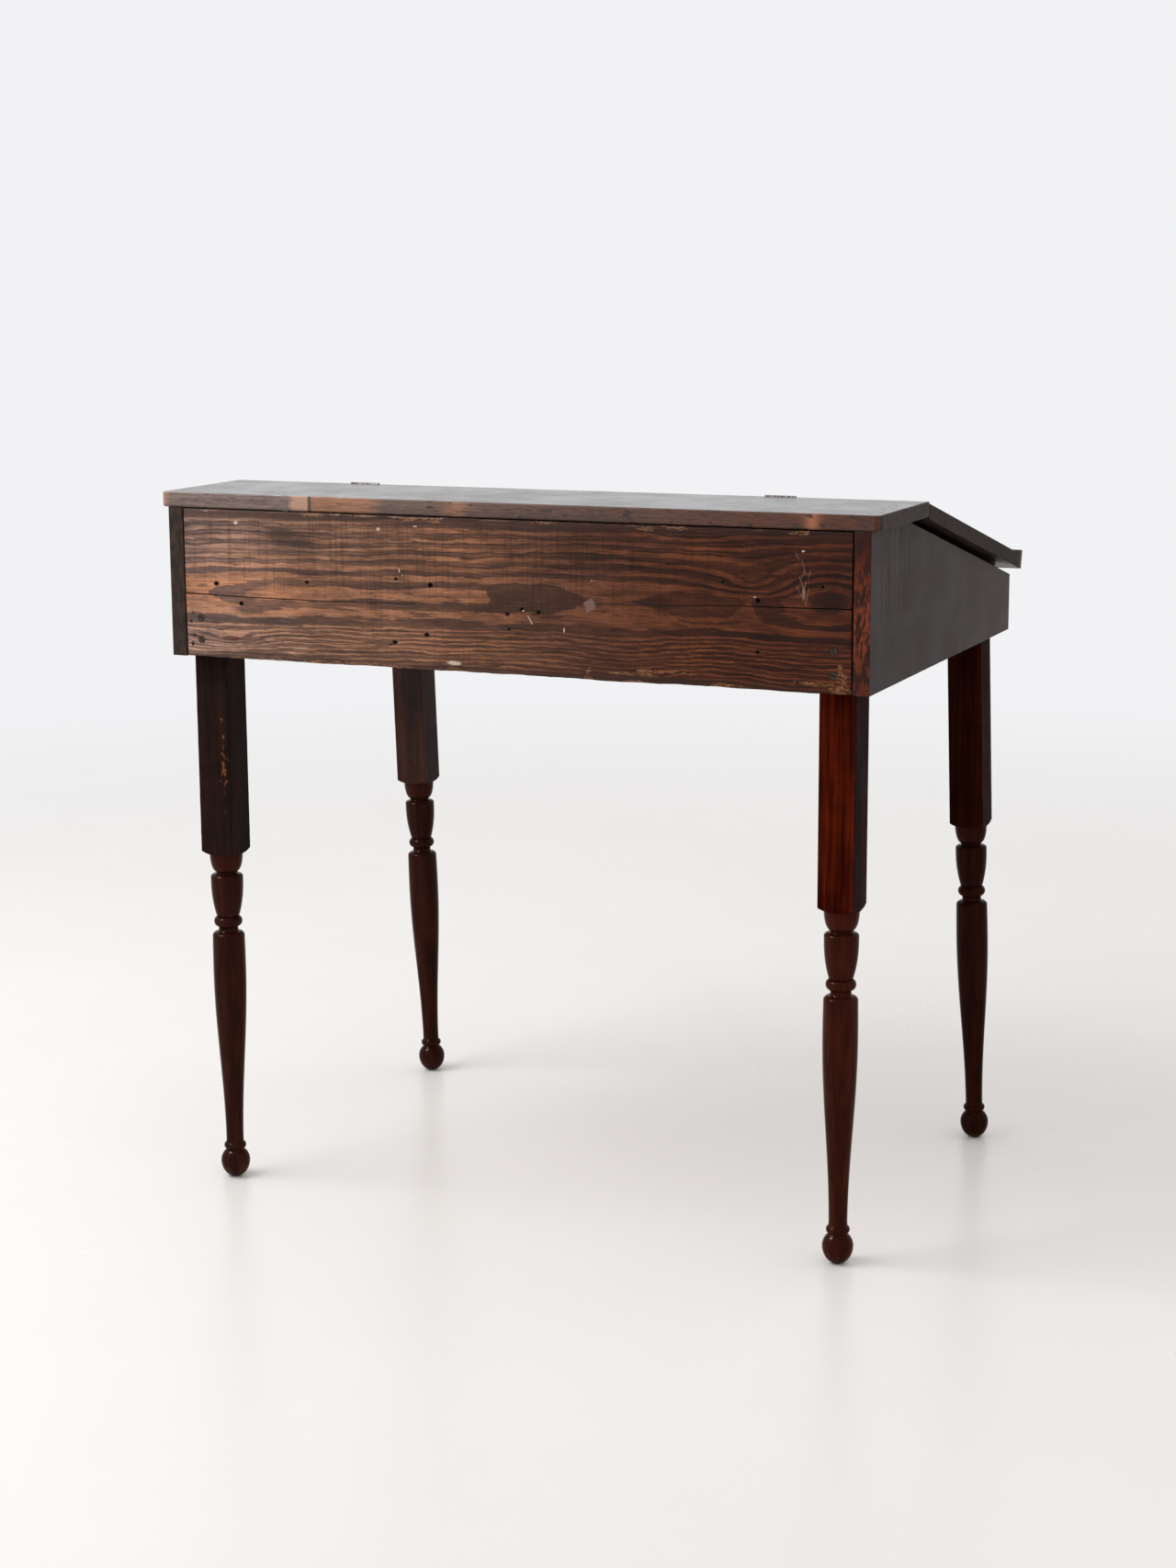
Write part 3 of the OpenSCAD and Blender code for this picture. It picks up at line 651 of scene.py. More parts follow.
def stain_with_painted_sheen(f, along, late, fibre):
    """The two tones of the stained grain, which change along the board, with painted sheen that
    lightens and greys them towards picture left.
    """
    pale = f.ramp(along, PALE_TONES_WITH_SHEEN)
    near_heart = f.hump(f.h, HEART_HEIGHT - 6, 42)
    pale = f.mix(near_heart * f.rise(f.x, 60, 300), pale, HEART_TAN)
    lush = f.fine((13, 30, 95), 4, 0.62)
    drab = f.mix(0.55, f.shade(pale, 0.66), f.ramp(along, DARK_TONES_WITH_SHEEN))
    pale = f.mix(f.rise(lush, 0.4, 0.56, 0.62, 0), f.shade(pale, 1.1), drab)
    lift = f.rise(along, 0, 0.4, 0.42, 0) + f.rise(along, 0.62, 0.85, 0, 0.34)
    pale = f.shade(pale, 1 + f.fall(f.h, 38, 74) * lift)
    wood = f.mix(late, pale, f.ramp(along, DARK_TONES_WITH_SHEEN))
    return f.shade(wood, f.spread(fibre, 1.2, 0.76))


print("stain goes from", PALE_TONES_WITH_SHEEN[0][1], "to", PALE_TONES_WITH_SHEEN[-1][1])

# %% [markdown]
# Age comes on top of the stain: saw marks across the board, open pores, grime, dark upper and
# lower edges, a smudge, and then every hole, split, splinter, scrape and speck in its own place.
# The splits and a ring round each screw head are darkened with painted shade.

# %% Saw marks, grime and dark edges
def with_age(f, along, wood, saw, grime):
    sawn = f.rise(f.h, 60, 120, 0.35, 1) * f.rise(f.x, -420, -250, 0.3, 1)
    wood = f.shade(wood, 1.03 - f.rise(saw, 0.5, 0.68, 0, 0.26) * sawn)
    pores = f.fine((110, 60, 1700), 3, 0.7)
    wood = f.shade(wood, f.rise(pores, 0.36, 0.6, 0.83, 1.13))
    wood = f.shade(wood, f.rise(grime, 0.36, 0.66, 0.7, 1.14))
    smudge = f.hump(f.x, 292, 36) * f.hump(f.h, 160, 11)
    smudge = smudge + f.hump(f.x, 318, 18) * f.hump(f.h, 167, 7)
    smudge = smudge * f.rise(grime, 0.35, 0.55, 0.3, 1.3)
    wood = f.mix(f.math("MINIMUM", smudge, 0.8), wood, SMUDGE_DARK)
    upper = f.rise(f.h + f.stir(grime, 22), 180, 193)
    wood = f.mix(upper * 0.85, wood, f.ramp(along, EDGE_TONES))
    lower = f.rise(f.h + f.stir(grime, 20), 4, 14, 0.75, 0)
    return f.mix(lower, wood, f.ramp(along, EDGE_TONES))


def with_holes(f, wood, ragged, flaky):
    """Nail holes and gouges, and painted shade along both splits and in a ring round each screw head.
    """
    knot_heart = blot(f, 394, 27, 15, 3, flaky)
    wood = f.mix(knot_heart * 0.7, wood, KNOT_RED)
    holes = tuple((across, up, wide + 2, wide + 1) for across, up, wide in NAIL_HOLES) + GOUGES
    wood = f.mix(blots(f, holes, ragged, 1.4) * 0.92, wood, HOLE_DARK)
    # Painted shade: a thin dark line along each split, and a dark ring just outside each screw head.
    lines = f.larger(dark_line(f, LONG_SPLIT, 1), dark_line(f, HIGH_SPLIT, 1))
    rim_shade = 0
    for across, up, turn in BACK_SCREWS:
        rim_shade = f.larger(rim_shade, f.hump(f.length(f.x - across, f.h - up), 4.6, 1.1))
    return f.mix(f.larger(lines, rim_shade) * 0.85, wood, SPLIT_AND_RIM_SHADE)


def with_torn_wood(f, along, wood, fibre, streak, flaky):
    torn_tone = f.ramp(along, TORN_TONES)
    broken = f.rise(f.fine((190, 300, 800), 3, 0.6), 0.44, 0.54)
    flakes = blots(f, PALE_FLAKES + SCREW_WORN, flaky, 6.5) * broken
    wood = f.mix(flakes * 0.75, wood, f.shade(torn_tone, f.spread(fibre, 0.6, 1.15)))
    torn = f.rise(f.own("wear") + f.stir(streak, 1.1), 0.5, 0.8) * 0.75
    return f.mix(torn, wood, f.shade(torn_tone, f.spread(flaky, 0.3, 1.05)))


print("ageing helpers ready")

# %% Scrapes, specks and the faces that never saw stain
def with_scrapes(f, wood, ragged):
    scraped = blot(f, -401, 121, 1.8, 8, ragged, 7) * 0.7
    for x0, h0, x1, h1 in SCRAPES:
        scraped = f.larger(scraped, scratch(f, (x0, h0), (x1, h1), 0.7) * 0.4)
    return f.mix(scraped * f.rise(ragged, 0.3, 0.6, 0.3, 0.9), wood, SCRAPED_WOOD)


def old_paint(f, ragged):
    specks = blots(f, PAINT_SPECKS, ragged, 3.4)
    return f.larger(specks, scratch(f, (-36, 77), (-43, 66), 0.8))


def pale_square(f, ragged):
    """A small slanted square where the stain is paler."""
    right = f.x + 121
    up = f.h - 94
    slant_u = f.size(right * 0.94 + up * 0.34)
    slant_w = f.size(up * 0.94 - right * 0.34)
    reach = slant_u * (1 / 9) + slant_w * (1 / 11)
    return f.fall(reach + f.stir(ragged, 0.7), 0.85, 1.05)


def with_hidden_faces(f, wood, late, grime):
    """The walls of holes and splits get painted shade, and the inner face of the board is bare."""
    below_face = f.before(f.py, BACK_FACE, -0.5, -0.2)
    hollow = below_face * f.past(f.py, BACK_INSIDE, 0.3, 0.8)
    off_edges = f.rise(f.h, 17, 18) * f.fall(f.h, 180, 181)
    # Painted shade on the walls of the holes and splits.
    wood = f.mix(hollow * off_edges, wood, HOLLOW_SHADE)
    bare = f.before(f.py, BACK_INSIDE, 0.3, 1.2)
    plain = f.mix(late, INSIDE_PALE, INSIDE_DARK)
    return f.mix(bare, wood, f.shade(plain, f.spread(grime, 0.72, 1.05)))


print("scrapes", len(SCRAPES), "paint specks", len(PAINT_SPECKS))

# %% Mix the finish of the back board
BACK_SHINE = 0.08
BACK_DEEP = 0.4


def back_pine():
    f = Finish("back_pine")
    along = (f.x + HALF_INSIDE) / (2 * HALF_INSIDE)
    fibre = f.fine((24, 60, 1000), 4, 0.62)
    streak = f.fine((6, 30, 150), 3, 0.6)
    saw = f.fine((360, 20, 11), 2, 0.5)
    grime = f.fine((8, 7, 17), 6, 0.68)
    ragged = f.noise(420, 3, 0.6)
    flaky = f.fine((110, 300, 420), 4, 0.65)
    late = late_wood(f, fibre, streak)
    wood = stain_with_painted_sheen(f, along, late, fibre)
    wood = with_age(f, along, wood, saw, grime)
    wood = with_holes(f, wood, ragged, flaky)
    wood = with_torn_wood(f, along, wood, fibre, streak, flaky)
    wood = with_scrapes(f, wood, ragged)
    marks = old_paint(f, ragged)
    wood = f.mix(marks * 0.85, wood, OLD_PAINT)
    square = pale_square(f, ragged)
    wood = f.mix(square * 0.75, wood, PALE_SQUARE)
    wood = with_hidden_faces(f, wood, late, grime)
    height = late * 0.35 + (fibre * -0.5 + saw * 0.35)
    height = height + f.larger(marks, square) * 0.6
    rough = f.spread(grime, 0.46, 0.64) + f.stir(fibre, 0.2)
    return f.finish(wood, rough, f.bump(height, BACK_DEEP, 0.7), shine=BACK_SHINE)


back_pine_finish = back_pine()
print("back pine nodes", len(back_pine_finish.node_tree.nodes))

# %% [markdown]
# The lower arris has lost splinters, and the upper one is chipped along half its length. A chip
# is cut as an ellipse round the arris: every point inside it moves straight out of it, so the
# edge stays one closed skin. Extra rows of points beside the arris give the chips their shape.

# %% Shape the back board
LOW_CHIPS = (
    (68, 13, 5, 7), (-119, 6, 4, 8), (-183, 19, 4, 4), (-448, 10, 4, 6), (236, 9, 2, 3),
    (-318, 15, 2, 3), (388, 12, 2, 3),
)
TOP_CHIPS = (
    (268, 14, 3, 4), (236, 10, 2, 3), (196, 22, 3, 4), (150, 9, 2, 3), (112, 16, 3, 4), (88, 8, 2, 3),
    (-60, 12, 2, 3), (-232, 16, 2, 3), (425, 12, 3, 4), (-400, 10, 2, 2),
)
LOW_ROWS = (2.5, 4.5, 7, 10, 16)
TOP_ROWS = (2.5, 4.5, 8)
FACE_ROWS = (2.5, 5, 9)
ROW_GAP = 4 * MM
RAGGED_BAND = 10 * MM
RAGGED_DEPTH = 1.3 * MM


def chip_arris(bm, layer, chips, edge_z, inward):
    """Cuts chips out of the arris at the back face. inward is 1 up from a lower arris, -1 down."""
    for v in bm.verts:
        for middle, half_long, deep, tall in chips:
            u = (v.co.x / MM - middle) / half_long
            if abs(u) >= 1 or v.co.y < BACK_FACE - 12 * MM:
                continue
            size = math.sqrt(1 - u * u) * (0.75 + 0.5 * noise.noise(v.co * 260))
            a = (BACK_FACE - v.co.y) / MM / (deep * size)
            b = inward * (v.co.z - edge_z) / MM / (tall * size)
            reach = math.hypot(a, b)
            if reach < 1 and b > -0.5:
                reach = max(reach, 0.05)
                v.co.y = BACK_FACE - (BACK_FACE - v.co.y) / reach
                v.co.z = edge_z + (v.co.z - edge_z) / reach
                v[layer] = 1


def back_board_piece():
    bm = joined("back_board")

    def outline(edge):
        middle = (edge.verts[0].co + edge.verts[1].co) / 2
        gaps = [min(abs(middle[i] - back_low[i]), abs(middle[i] - back_high[i])) for i in range(3)]
        return sum(gap < 0.05 * MM for gap in gaps) >= 2

    mark_arrises(bm, outline)
    rows = [back_low.z + d * MM for d in LOW_ROWS] + [back_high.z - d * MM for d in TOP_ROWS]
    slices(bm, (0, 0, 1), rows)
    slices(bm, (0, 1, 0), [back_high.y - d * MM for d in FACE_ROWS])
    ends = [back_low.x + ROW_GAP, back_high.x - ROW_GAP]
    slices(bm, (1, 0, 0), ends + steps(*ends, ROW_GAP))
    rounded = round_arrises(bm, 1.3 * MM)
    wear_down(bm, rounded, 1 * MM, 55, 3)
    layer = bm.verts.layers.float["wear"]
    chip_arris(bm, layer, LOW_CHIPS, back_low.z, 1)
    chip_arris(bm, layer, TOP_CHIPS, back_high.z, -1)
    for v in bm.verts:
        near = max(0, 1 - (v.co.z - back_low.z) / RAGGED_BAND)
        wave = 0.5 + noise.fractal(Vector((v.co.x * 9, 0, 5)), 0.8, 2.0, 3)
        v.co.z += RAGGED_DEPTH * near * wave
    finished("back_plank", bm, back_pine_finish, "desk", "back_board")


back_board_piece()

# %% [markdown]
# ## Stained boards
# The sides, shelf, lid and front wear a dark shellac stain over pine. The stain lies thin on
# arrises, pools in the pores, and has worn to red-brown wood where hands and books rub. One
# recipe serves them all. It takes the direction of the grain and the two tones it runs between,
# and small functions that say which faces were never stained, what marks the board has of its
# own, and where it is polished.

# %% The stained wood recipe
RUBBED_WOOD = (0.125, 0.044, 0.022)
STAIN_DEEP = 0.25
BARE_PALE = (0.4, 0.25, 0.145)
BARE_DARK = (0.24, 0.13, 0.068)


def along_grain(f, direction):
    """The place with the axis that the grain follows put first."""
    if direction == "x":
        return f.point(f.px, f.py, f.pz)
    if direction == "y":
        return f.point(f.py, f.px, f.pz)
    return f.point(f.pz, f.px, f.py)


def wood_lines(f, grain):
    """Fine fibre, streaks and slow bands of the board, each near 0.5."""
    fibre = f.fine((22, 700, 700), 4, 0.6, grain)
    streak = f.fine((4, 90, 90), 3, 0.6, grain)
    band = f.fine((1.6, 16, 16), 3, 0.55, grain)
    return fibre, streak, band


def bare_wood(f, fibre, band, grime):
    lines = f.math("PINGPONG", band * 14, 1)
    pine = f.mix(f.rise(lines, 0.1, 0.9), BARE_PALE, BARE_DARK)
    pine = f.shade(pine, f.spread(fibre, 0.85, 1.1))
    return f.shade(pine, f.spread(grime, 0.66, 1.04))


def stained_wood(name, direction, tones, gloss, shine, bare=None, extra=None, polish=None):
    f = Finish(name)
    grain = along_grain(f, direction)
    fibre, streak, band = wood_lines(f, grain)
    grime = f.noise(14, 5, 0.62)
    share = streak * 0.7 + band * 0.5
    wood = f.mix(f.rise(share, 0.42, 0.78), *tones)
    wood = f.shade(wood, f.spread(fibre, 0.78, 1.16))
    wood = f.shade(wood, f.rise(grime, 0.32, 0.68, 0.82, 1.15))
    if extra is not None:
        wood = extra(f, wood, streak, grime)
    rubbed = f.rise(f.own("wear") + f.stir(streak, 1), 0.42, 0.85)
    rubbed_tone = f.shade(RUBBED_WOOD, f.spread(fibre, 0.7, 1.2))
    wood = f.mix(rubbed * 0.7, wood, rubbed_tone)
    rough = f.spread(grime, gloss, gloss + 0.1) + f.stir(fibre, 0.1)
    if polish is not None:
        rough = rough + polish(f)
    if bare is not None:
        hidden = bare(f)
        wood = f.mix(hidden, wood, bare_wood(f, fibre, band, grime))
        rough = rough + hidden * 0.25
    height = fibre * 0.5 + streak * 0.5
    return f.finish(wood, rough, f.bump(height, STAIN_DEEP, 0.6), shine=shine)


print("stained wood recipe ready")

# %% [markdown]
# The two side boards stand with their end grain to the camera's side, where the stain is
# thin and glows orange-red. Their broad faces are nearly black, with a few upright runs of
# varnish near the back, and a painted sheen lightens them towards the front. Inside the case
# the wood was left bare.

# %% Finish the side boards
PIT_DARK = (0.006, 0.004, 0.004)
RED_GLOW = ((0.026, 0.0085, 0.006), (0.165, 0.034, 0.014))
GREY_GLOW = ((0.022, 0.0145, 0.0115), (0.05, 0.029, 0.021))
SIDE_TONES = ((0.0265, 0.0158, 0.0145), (0.033, 0.0195, 0.0175))


def side_edge(f):
    """The edge beside the back board glows red on one side board, and is grey on the other."""
    glow = f.fine((150, 60, 52), 4, 0.65)
    middle = 0.45 + f.hump(f.pz, CASE_BOTTOM + 85 * MM, 55 * MM) * 0.65
    upper = f.past(f.pz, CASE_BOTTOM, 150, 185, 1, 0.55)
    lit = f.shade(RED_GLOW[1], middle * upper)
    red = f.mix(f.rise(glow, 0.41, 0.58), RED_GLOW[0], lit)
    grey = f.mix(f.rise(glow, 0.38, 0.66), *GREY_GLOW)
    return f.mix(f.rise(f.px, -0.1, 0.1), red, grey)


def side_extra(f, wood, streak, grime):
    runs = f.fine((40, 230, 4), 3, 0.6)
    high = f.rise(f.py, 0.12, 0.2) * f.past(f.pz, CASE_BOTTOM, 50, 130)
    wood = f.shade(wood, 1 + f.rise(runs, 0.56, 0.64, 0, 1.1) * high)
    wood = f.shade(wood, 1 - f.rise(runs, 0.36, 0.44, 0.6, 0) * high)
    # Painted sheen: the broad faces are lighter towards the front, where the varnish shines at a
    # grazing angle.
    wood = f.shade(wood, f.rise(f.py, -0.3, 0.02, 1.55, 1))
    upright = {"Vector": f.stretch(f.place, (0, 46, 46)), "Scale": 1}
    pits = f.node("ShaderNodeTexVoronoi", upright, "Distance")
    rare = f.noise(21, 1, 0.5)
    pitted = f.fall(pits, 0.05, 0.09) * f.rise(rare, 0.52, 0.56)
    wood = f.mix(pitted * 0.8, wood, PIT_DARK)
    edge = f.past(f.py, BACK_FACE, -1.2, -0.3)
    return f.mix(edge, wood, side_edge(f))


def side_bare(f):
    inside = f.before(f.size(f.px), SIDE_INSIDE, 0.2, 0.8)
    inside = inside * f.past(f.py, FRONT_INSIDE, 0, 2)
    return inside * f.before(f.py, BACK_INSIDE, -2, 0)


side_finish = stained_wood("side_stain", "y", SIDE_TONES, 0.46, 0.08, side_bare, side_extra)
print("side finish ready")

# %% Shape any straight board
def worn_plank(
    name, node, material, seed, radius, depth, along="x", gap=8,
    body="desk", skip=None,
):
    """Rounds and wears a board. radius, depth and the gap between slices are in millimetres."""
    bm = joined(node)
    low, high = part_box(node)
    axis = "xyz".index(along)
    normal = [0, 0, 0]
    normal[axis] = 1

    def outline(edge):
        middle = (edge.verts[0].co + edge.verts[1].co) / 2
        return edge.calc_length() > 0.9 * MM and not (skip and skip(middle))

    mark_arrises(bm, outline)
    slices(bm, normal, steps(low[axis] + 3 * MM, high[axis] - 3 * MM, gap * MM))
    rounded = round_arrises(bm, radius * MM)
    wear_down(bm, within_rounding(rounded), depth * MM, 45, seed)
    finished(name, bm, material, body, node)


for hand, seed in (("left", 11), ("right", 17)):
    worn_plank(f"side_plank_{hand}", f"side_board_{hand}", side_finish, seed, 1.3, 0.7, "y")

# %% [markdown]
# The shelf is the most handled board. Its back edge shows a history: grey and rubbed at picture
# left, a tan scar, a stretch of bare orange wood, then dark varnish again with old nail marks.

# %% Finish the shelf
SHELF_TONES = ((0.018, 0.013, 0.011), (0.046, 0.03, 0.022))
SHELF_EDGE_TONES = (
    (0.015, (0.092, 0.024, 0.009)), (0.18, (0.097, 0.029, 0.013)), (0.36, (0.09, 0.038, 0.023)),
    (0.5, (0.102, 0.047, 0.033)), (0.62, (0.115, 0.065, 0.05)),
)
ORANGE_WOOD = ((0.128, 0.049, 0.02), (0.345, 0.15, 0.078))
GREY_WOOD = ((0.066, 0.041, 0.033), (0.2, 0.134, 0.11))
TAN_SCAR = (0.4, 0.222, 0.142)
SCAR_LINE = (0.02, 0.012, 0.01)
SMALL_KNOT = (0.3, 0.105, 0.04)
WORN_END = (0.27, 0.155, 0.105)
DARK_STAIN = (0.012, 0.008, 0.007)


def shelf_extra(f, wood, streak, grime):
    uneven = f.x + f.stir(streak, 30)
    fine = f.fine((60, 60, 420), 4, 0.65)
    mottle = streak * 0.45 + fine * 0.55
    along = (f.x + HALF_INSIDE + f.stir(grime, 90)) / (2 * HALF_INSIDE)
    dull = f.shade(f.ramp(along, SHELF_EDGE_TONES), f.rise(mottle, 0.38, 0.64, 0.52, 1.25))
    orange = f.mix(f.rise(mottle, 0.34, 0.64), *ORANGE_WOOD)
    grey = f.mix(f.rise(mottle, 0.36, 0.62), *GREY_WOOD)
    look = f.mix(f.rise(uneven, 160, 200), dull, orange)
    look = f.mix(f.hump(uneven, 64, 15) * 0.7, look, orange)
    scar = f.shade(TAN_SCAR, f.spread(mottle, 0.8, 1.1))
    look = f.mix(f.rise(f.x, 275, 276.5), look, scar)
    look = f.mix(f.hump(f.x, 272.5, 2), look, SCAR_LINE)
    look = f.mix(f.rise(uneven, 296, 306), look, grey)
    knot = f.hump(f.x, -411, 9) * f.rise(grime, 0.35, 0.5)
    look = f.mix(knot, look, SMALL_KNOT)
    look = f.mix(f.rise(f.x + f.stir(fine, 14), 480, 490), look, WORN_END)
    stains = f.rise(f.fine((55, 60, 160), 2, 0.5), 0.6, 0.66)
    look = f.mix(stains * f.rise(f.x, 90, 160, 0.9, 0.25), look, DARK_STAIN)
    shaded = f.past(f.pz, SHELF_UNDER, 1, 5, 0.62, 1)
    edge = f.past(f.py, BACK_FACE, -4, -2.4)
    return f.mix(edge, wood, f.shade(look, shaded))


def shelf_bare(f):
    under = f.before(f.pz, SHELF_UNDER, 0.2, 0.8)
    inside = f.before(f.size(f.px), SIDE_INSIDE, -2, 0)
    return under * (inside * f.before(f.py, BACK_INSIDE, -2, 0))


def shelf_polish(f):
    """The top was polished by hands, but the edges and the end grain stay dull."""
    top = f.past(f.pz, SHELF_TOP, -0.8, -0.2)
    ends = f.past(f.size(f.px), SHELF_END, -2.5, -1)
    edge = f.past(f.py, BACK_FACE, -2.5, -1)
    return top * -0.2 + f.larger(ends, edge) * 0.4


shelf_finish = stained_wood(
    "shelf_stain", "x", SHELF_TONES, 0.32, 0.3, shelf_bare, shelf_extra, shelf_polish
)
print("shelf finish ready")

# %% Shape the shelf, and leave the mortises of its hinges sharp
HINGE_LEAVES = (
    "hinge_shelf_leaf_left", "hinge_shelf_leaf_right", "hinge_lid_leaf_left", "hinge_lid_leaf_right",
)


def near_hinge(middle):
    for node in HINGE_LEAVES:
        low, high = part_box(node)
        beside = low.x - MM < middle.x < high.x + MM
        if beside and low.y - 4 * MM < middle.y < high.y + 4 * MM:
            return True
    return False


worn_plank("shelf_plank", "shelf_board", shelf_finish, 23, 2.6, 0.9, skip=near_hinge)

# %% [markdown]
# The lid is where people wrote. Its varnish is worn through in a wide patch in front of the
# writer, with ink-dark stains, and the pencil ledge keeps it at the rim.

# %% Finish the lid
LID_TONES = ((0.017, 0.012, 0.0095), (0.044, 0.028, 0.02))
WRITING_WEAR = (0.092, 0.042, 0.025)
INK = (0.01, 0.008, 0.01)
LID_SLOPE = math.radians(13.5)
lid_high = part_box("lid_board_upper")[1]


def lid_extra(f, wood, streak, grime):
    elbow = f.hump(f.x, 0, 300) * f.hump(f.py, -170 * MM, 130 * MM)
    thin = f.rise(elbow * 0.6 + f.stir(streak, 1.4), 0.25, 0.75)
    wood = f.mix(thin * 0.55, wood, WRITING_WEAR)
    ink = f.noise(30, 4, 0.6)
    return f.mix(f.rise(ink, 0.66, 0.7, 0, 0.75), wood, INK)


def lid_bare(f):
    """The underside inside the case. Depth is measured below the top, square to it."""
    top = lid_high.z - (lid_high.y - f.py) * math.tan(LID_SLOPE)
    depth = (top - f.pz) * math.cos(LID_SLOPE)
    inside = f.before(f.size(f.px), SIDE_INSIDE, -4, -2)
    inside = inside * f.past(f.py, FRONT_INSIDE, -2, 2)
    return f.rise(depth, 18.6 * MM, 19.2 * MM) * inside


def lid_polish(f):
    return f.past(f.size(f.px), SHELF_END, -1.6, -0.8) * 0.45


lid_finish = stained_wood("lid_stain", "x", LID_TONES, 0.3, 0.14, lid_bare, lid_extra, lid_polish)
for row, skip, seed in (("upper", near_hinge, 31), ("lower", None, 37)):
    worn_plank(
        f"lid_plank_{row}", f"lid_board_{row}", lid_finish, seed, 1.6, 0.8, body="lid", skip=skip
    )

# %% [markdown]
# The front board is stained outside like the sides and bare inside. The two boards of the
# bottom and the two battens under the lid were never stained at all.

# %% Finish the front board and the boards inside
FRONT_TONES = ((0.018, 0.012, 0.01), (0.046, 0.026, 0.018))
HANDLED_PINE = (0.16, 0.09, 0.05)
PINE_DEEP = 0.3
PINE_SHINE = 0.25


def front_bare(f):
    return f.past(f.py, FRONT_INSIDE, -0.8, -0.2)


def bare_pine(name, direction):
    f = Finish(name)
    grain = along_grain(f, direction)
    fibre, streak, band = wood_lines(f, grain)
    grime = f.noise(11, 5, 0.62)
    wood = bare_wood(f, fibre, band, grime)
    edge = f.rise(f.own("wear"), 0.4, 0.9)
    wood = f.mix(edge * 0.5, wood, HANDLED_PINE)
    dents = f.bump(fibre * 0.6 + streak * 0.4, PINE_DEEP, 0.7)
    return f.finish(wood, f.spread(grime, 0.62, 0.78), dents, shine=PINE_SHINE)


front_finish = stained_wood("front_stain", "x", FRONT_TONES, 0.36, 0.14, front_bare)
inside_finish = bare_pine("inside_pine", "x")
batten_finish = bare_pine("batten_pine", "y")
worn_plank("front_plank", "front_board", front_finish, 41, 1.3, 0.7, gap=10)
for row, seed in (("front", 43), ("back", 47)):
    worn_plank(
        f"bottom_plank_{row}", f"bottom_board_{row}", inside_finish, seed, 0.8, 0.4,
        gap=16,
    )
for hand, seed in (("left", 53), ("right", 59)):
    worn_plank(
        f"batten_plank_{hand}", f"lid_batten_{hand}", batten_finish, seed, 1.2, 0.6, "y",
        gap=12, body="lid",
    )

# %% [markdown]
# ## The turned legs
# Each leg is one stick of square stock. The upper part stays square, and the rest was turned on
# a lathe: ball foot, ankle ring, long taper, groove, bead, vase and cup. A lathe spins one
# profile, so bmesh's spin does too. The profile runs up from the floor in the same order.

# %% Draw the leg's profile
BALL = 20
BALL_LOW = 24
FOOT_FLAT = 1
LEG_HALF = 24.25
LEG_TOP = 808
BLOCK_ROUND = 6
FOOT_NECK = 12.5
RING_NECK = 11.9
TAPER_FULL = 22.4
TAPER_TOP = 21.9
BEAD_NECK = 13.4
VASE_FOOT = 15.2
VASE_FULL = 22
CUP_NECK = 14.3
CUP_RIM = 22.5


def arc(count, start, end):
    return [math.radians(start + (end - start) * i / count) for i in range(count + 1)]


def ball_foot(neck):
    top = math.degrees(math.acos(neck / BALL))
    middle = BALL_LOW - FOOT_FLAT
    points = []
    for a in arc(28, -90, top):
        tall = BALL_LOW if a < 0 else BALL
        points.append((BALL * math.cos(a), max(middle + tall * math.sin(a), 0)))
    return points


def bulge(z, tall, base, top):
    swell = top - base
    return [(base + swell * math.sin(a), z + tall * (1 - math.cos(a)) / 2) for a in arc(14, 0, 180)]


def flow(z, tall, start, end):
    half = (end - start) / 2
    return [(start + half * (1 - math.cos(a)), z + tall * a / math.pi) for a in arc(36, 0, 180)]


def ease(z, tall, start, end):
    return [(start + (end - start) * (i / 8) ** 2, z + tall * i / 8) for i in range(1, 9)]


def close_in(z, tall, outer, inner):
    step = outer - inner
    return [(inner + step * math.cos(a), z + tall * math.sin(a)) for a in arc(8, 0, 90)][1:]


def open_out(z, tall, inner, outer):
    step = outer - inner
    return [(inner + step * math.sin(a), z + tall * (1 - math.cos(a))) for a in arc(12, 0, 90)]


def straight(z, tall, radius):
    return [(radius, z + tall)]


def vase(z, tall, foot, full):
    return [(full - (full - foot) * (1 - i / 16) ** 2.2, z + tall * i / 16) for i in range(17)]


def leg_profile():
    points = [(0, 0)] + [point for point in ball_foot(FOOT_NECK) if point[0] > 0.5]
    z = points[-1][1] + 1.5
    for tall, shape, sizes in (
        (9, bulge, (RING_NECK, 15.2)),
        (248, flow, (RING_NECK, TAPER_FULL)),
        (48, ease, (TAPER_FULL, TAPER_TOP)),
        (6, close_in, (TAPER_TOP, BEAD_NECK)),
        (7, None, ()),
        (14, bulge, (BEAD_NECK, 19.3)),
        (50, vase, (VASE_FOOT, VASE_FULL)),
        (5.5, straight, (VASE_FULL,)),
        (4.5, close_in, (VASE_FULL, CUP_NECK)),
        (3, None, ()),
        (25.5, open_out, (CUP_NECK, CUP_RIM)),
    ):
        if shape is not None:
            points += shape(z, tall, *sizes)
        z += tall
    return points, z


profile, BLOCK_START = leg_profile()
print("profile points", len(profile), "block starts at", round(BLOCK_START, 1))

# %% Turn a leg
LEG_STEPS = 64
BLOCK_CUTS = (4, 8, 11.5, 14.5, 17, 19, 20.5, 22, 23.3)
BLOCK_ROWS = (0.5, 1, 1.5, 2, 2.6, 3.2, 4, 5, 6, 7.5)
BALL_MIDDLE = 23 * MM


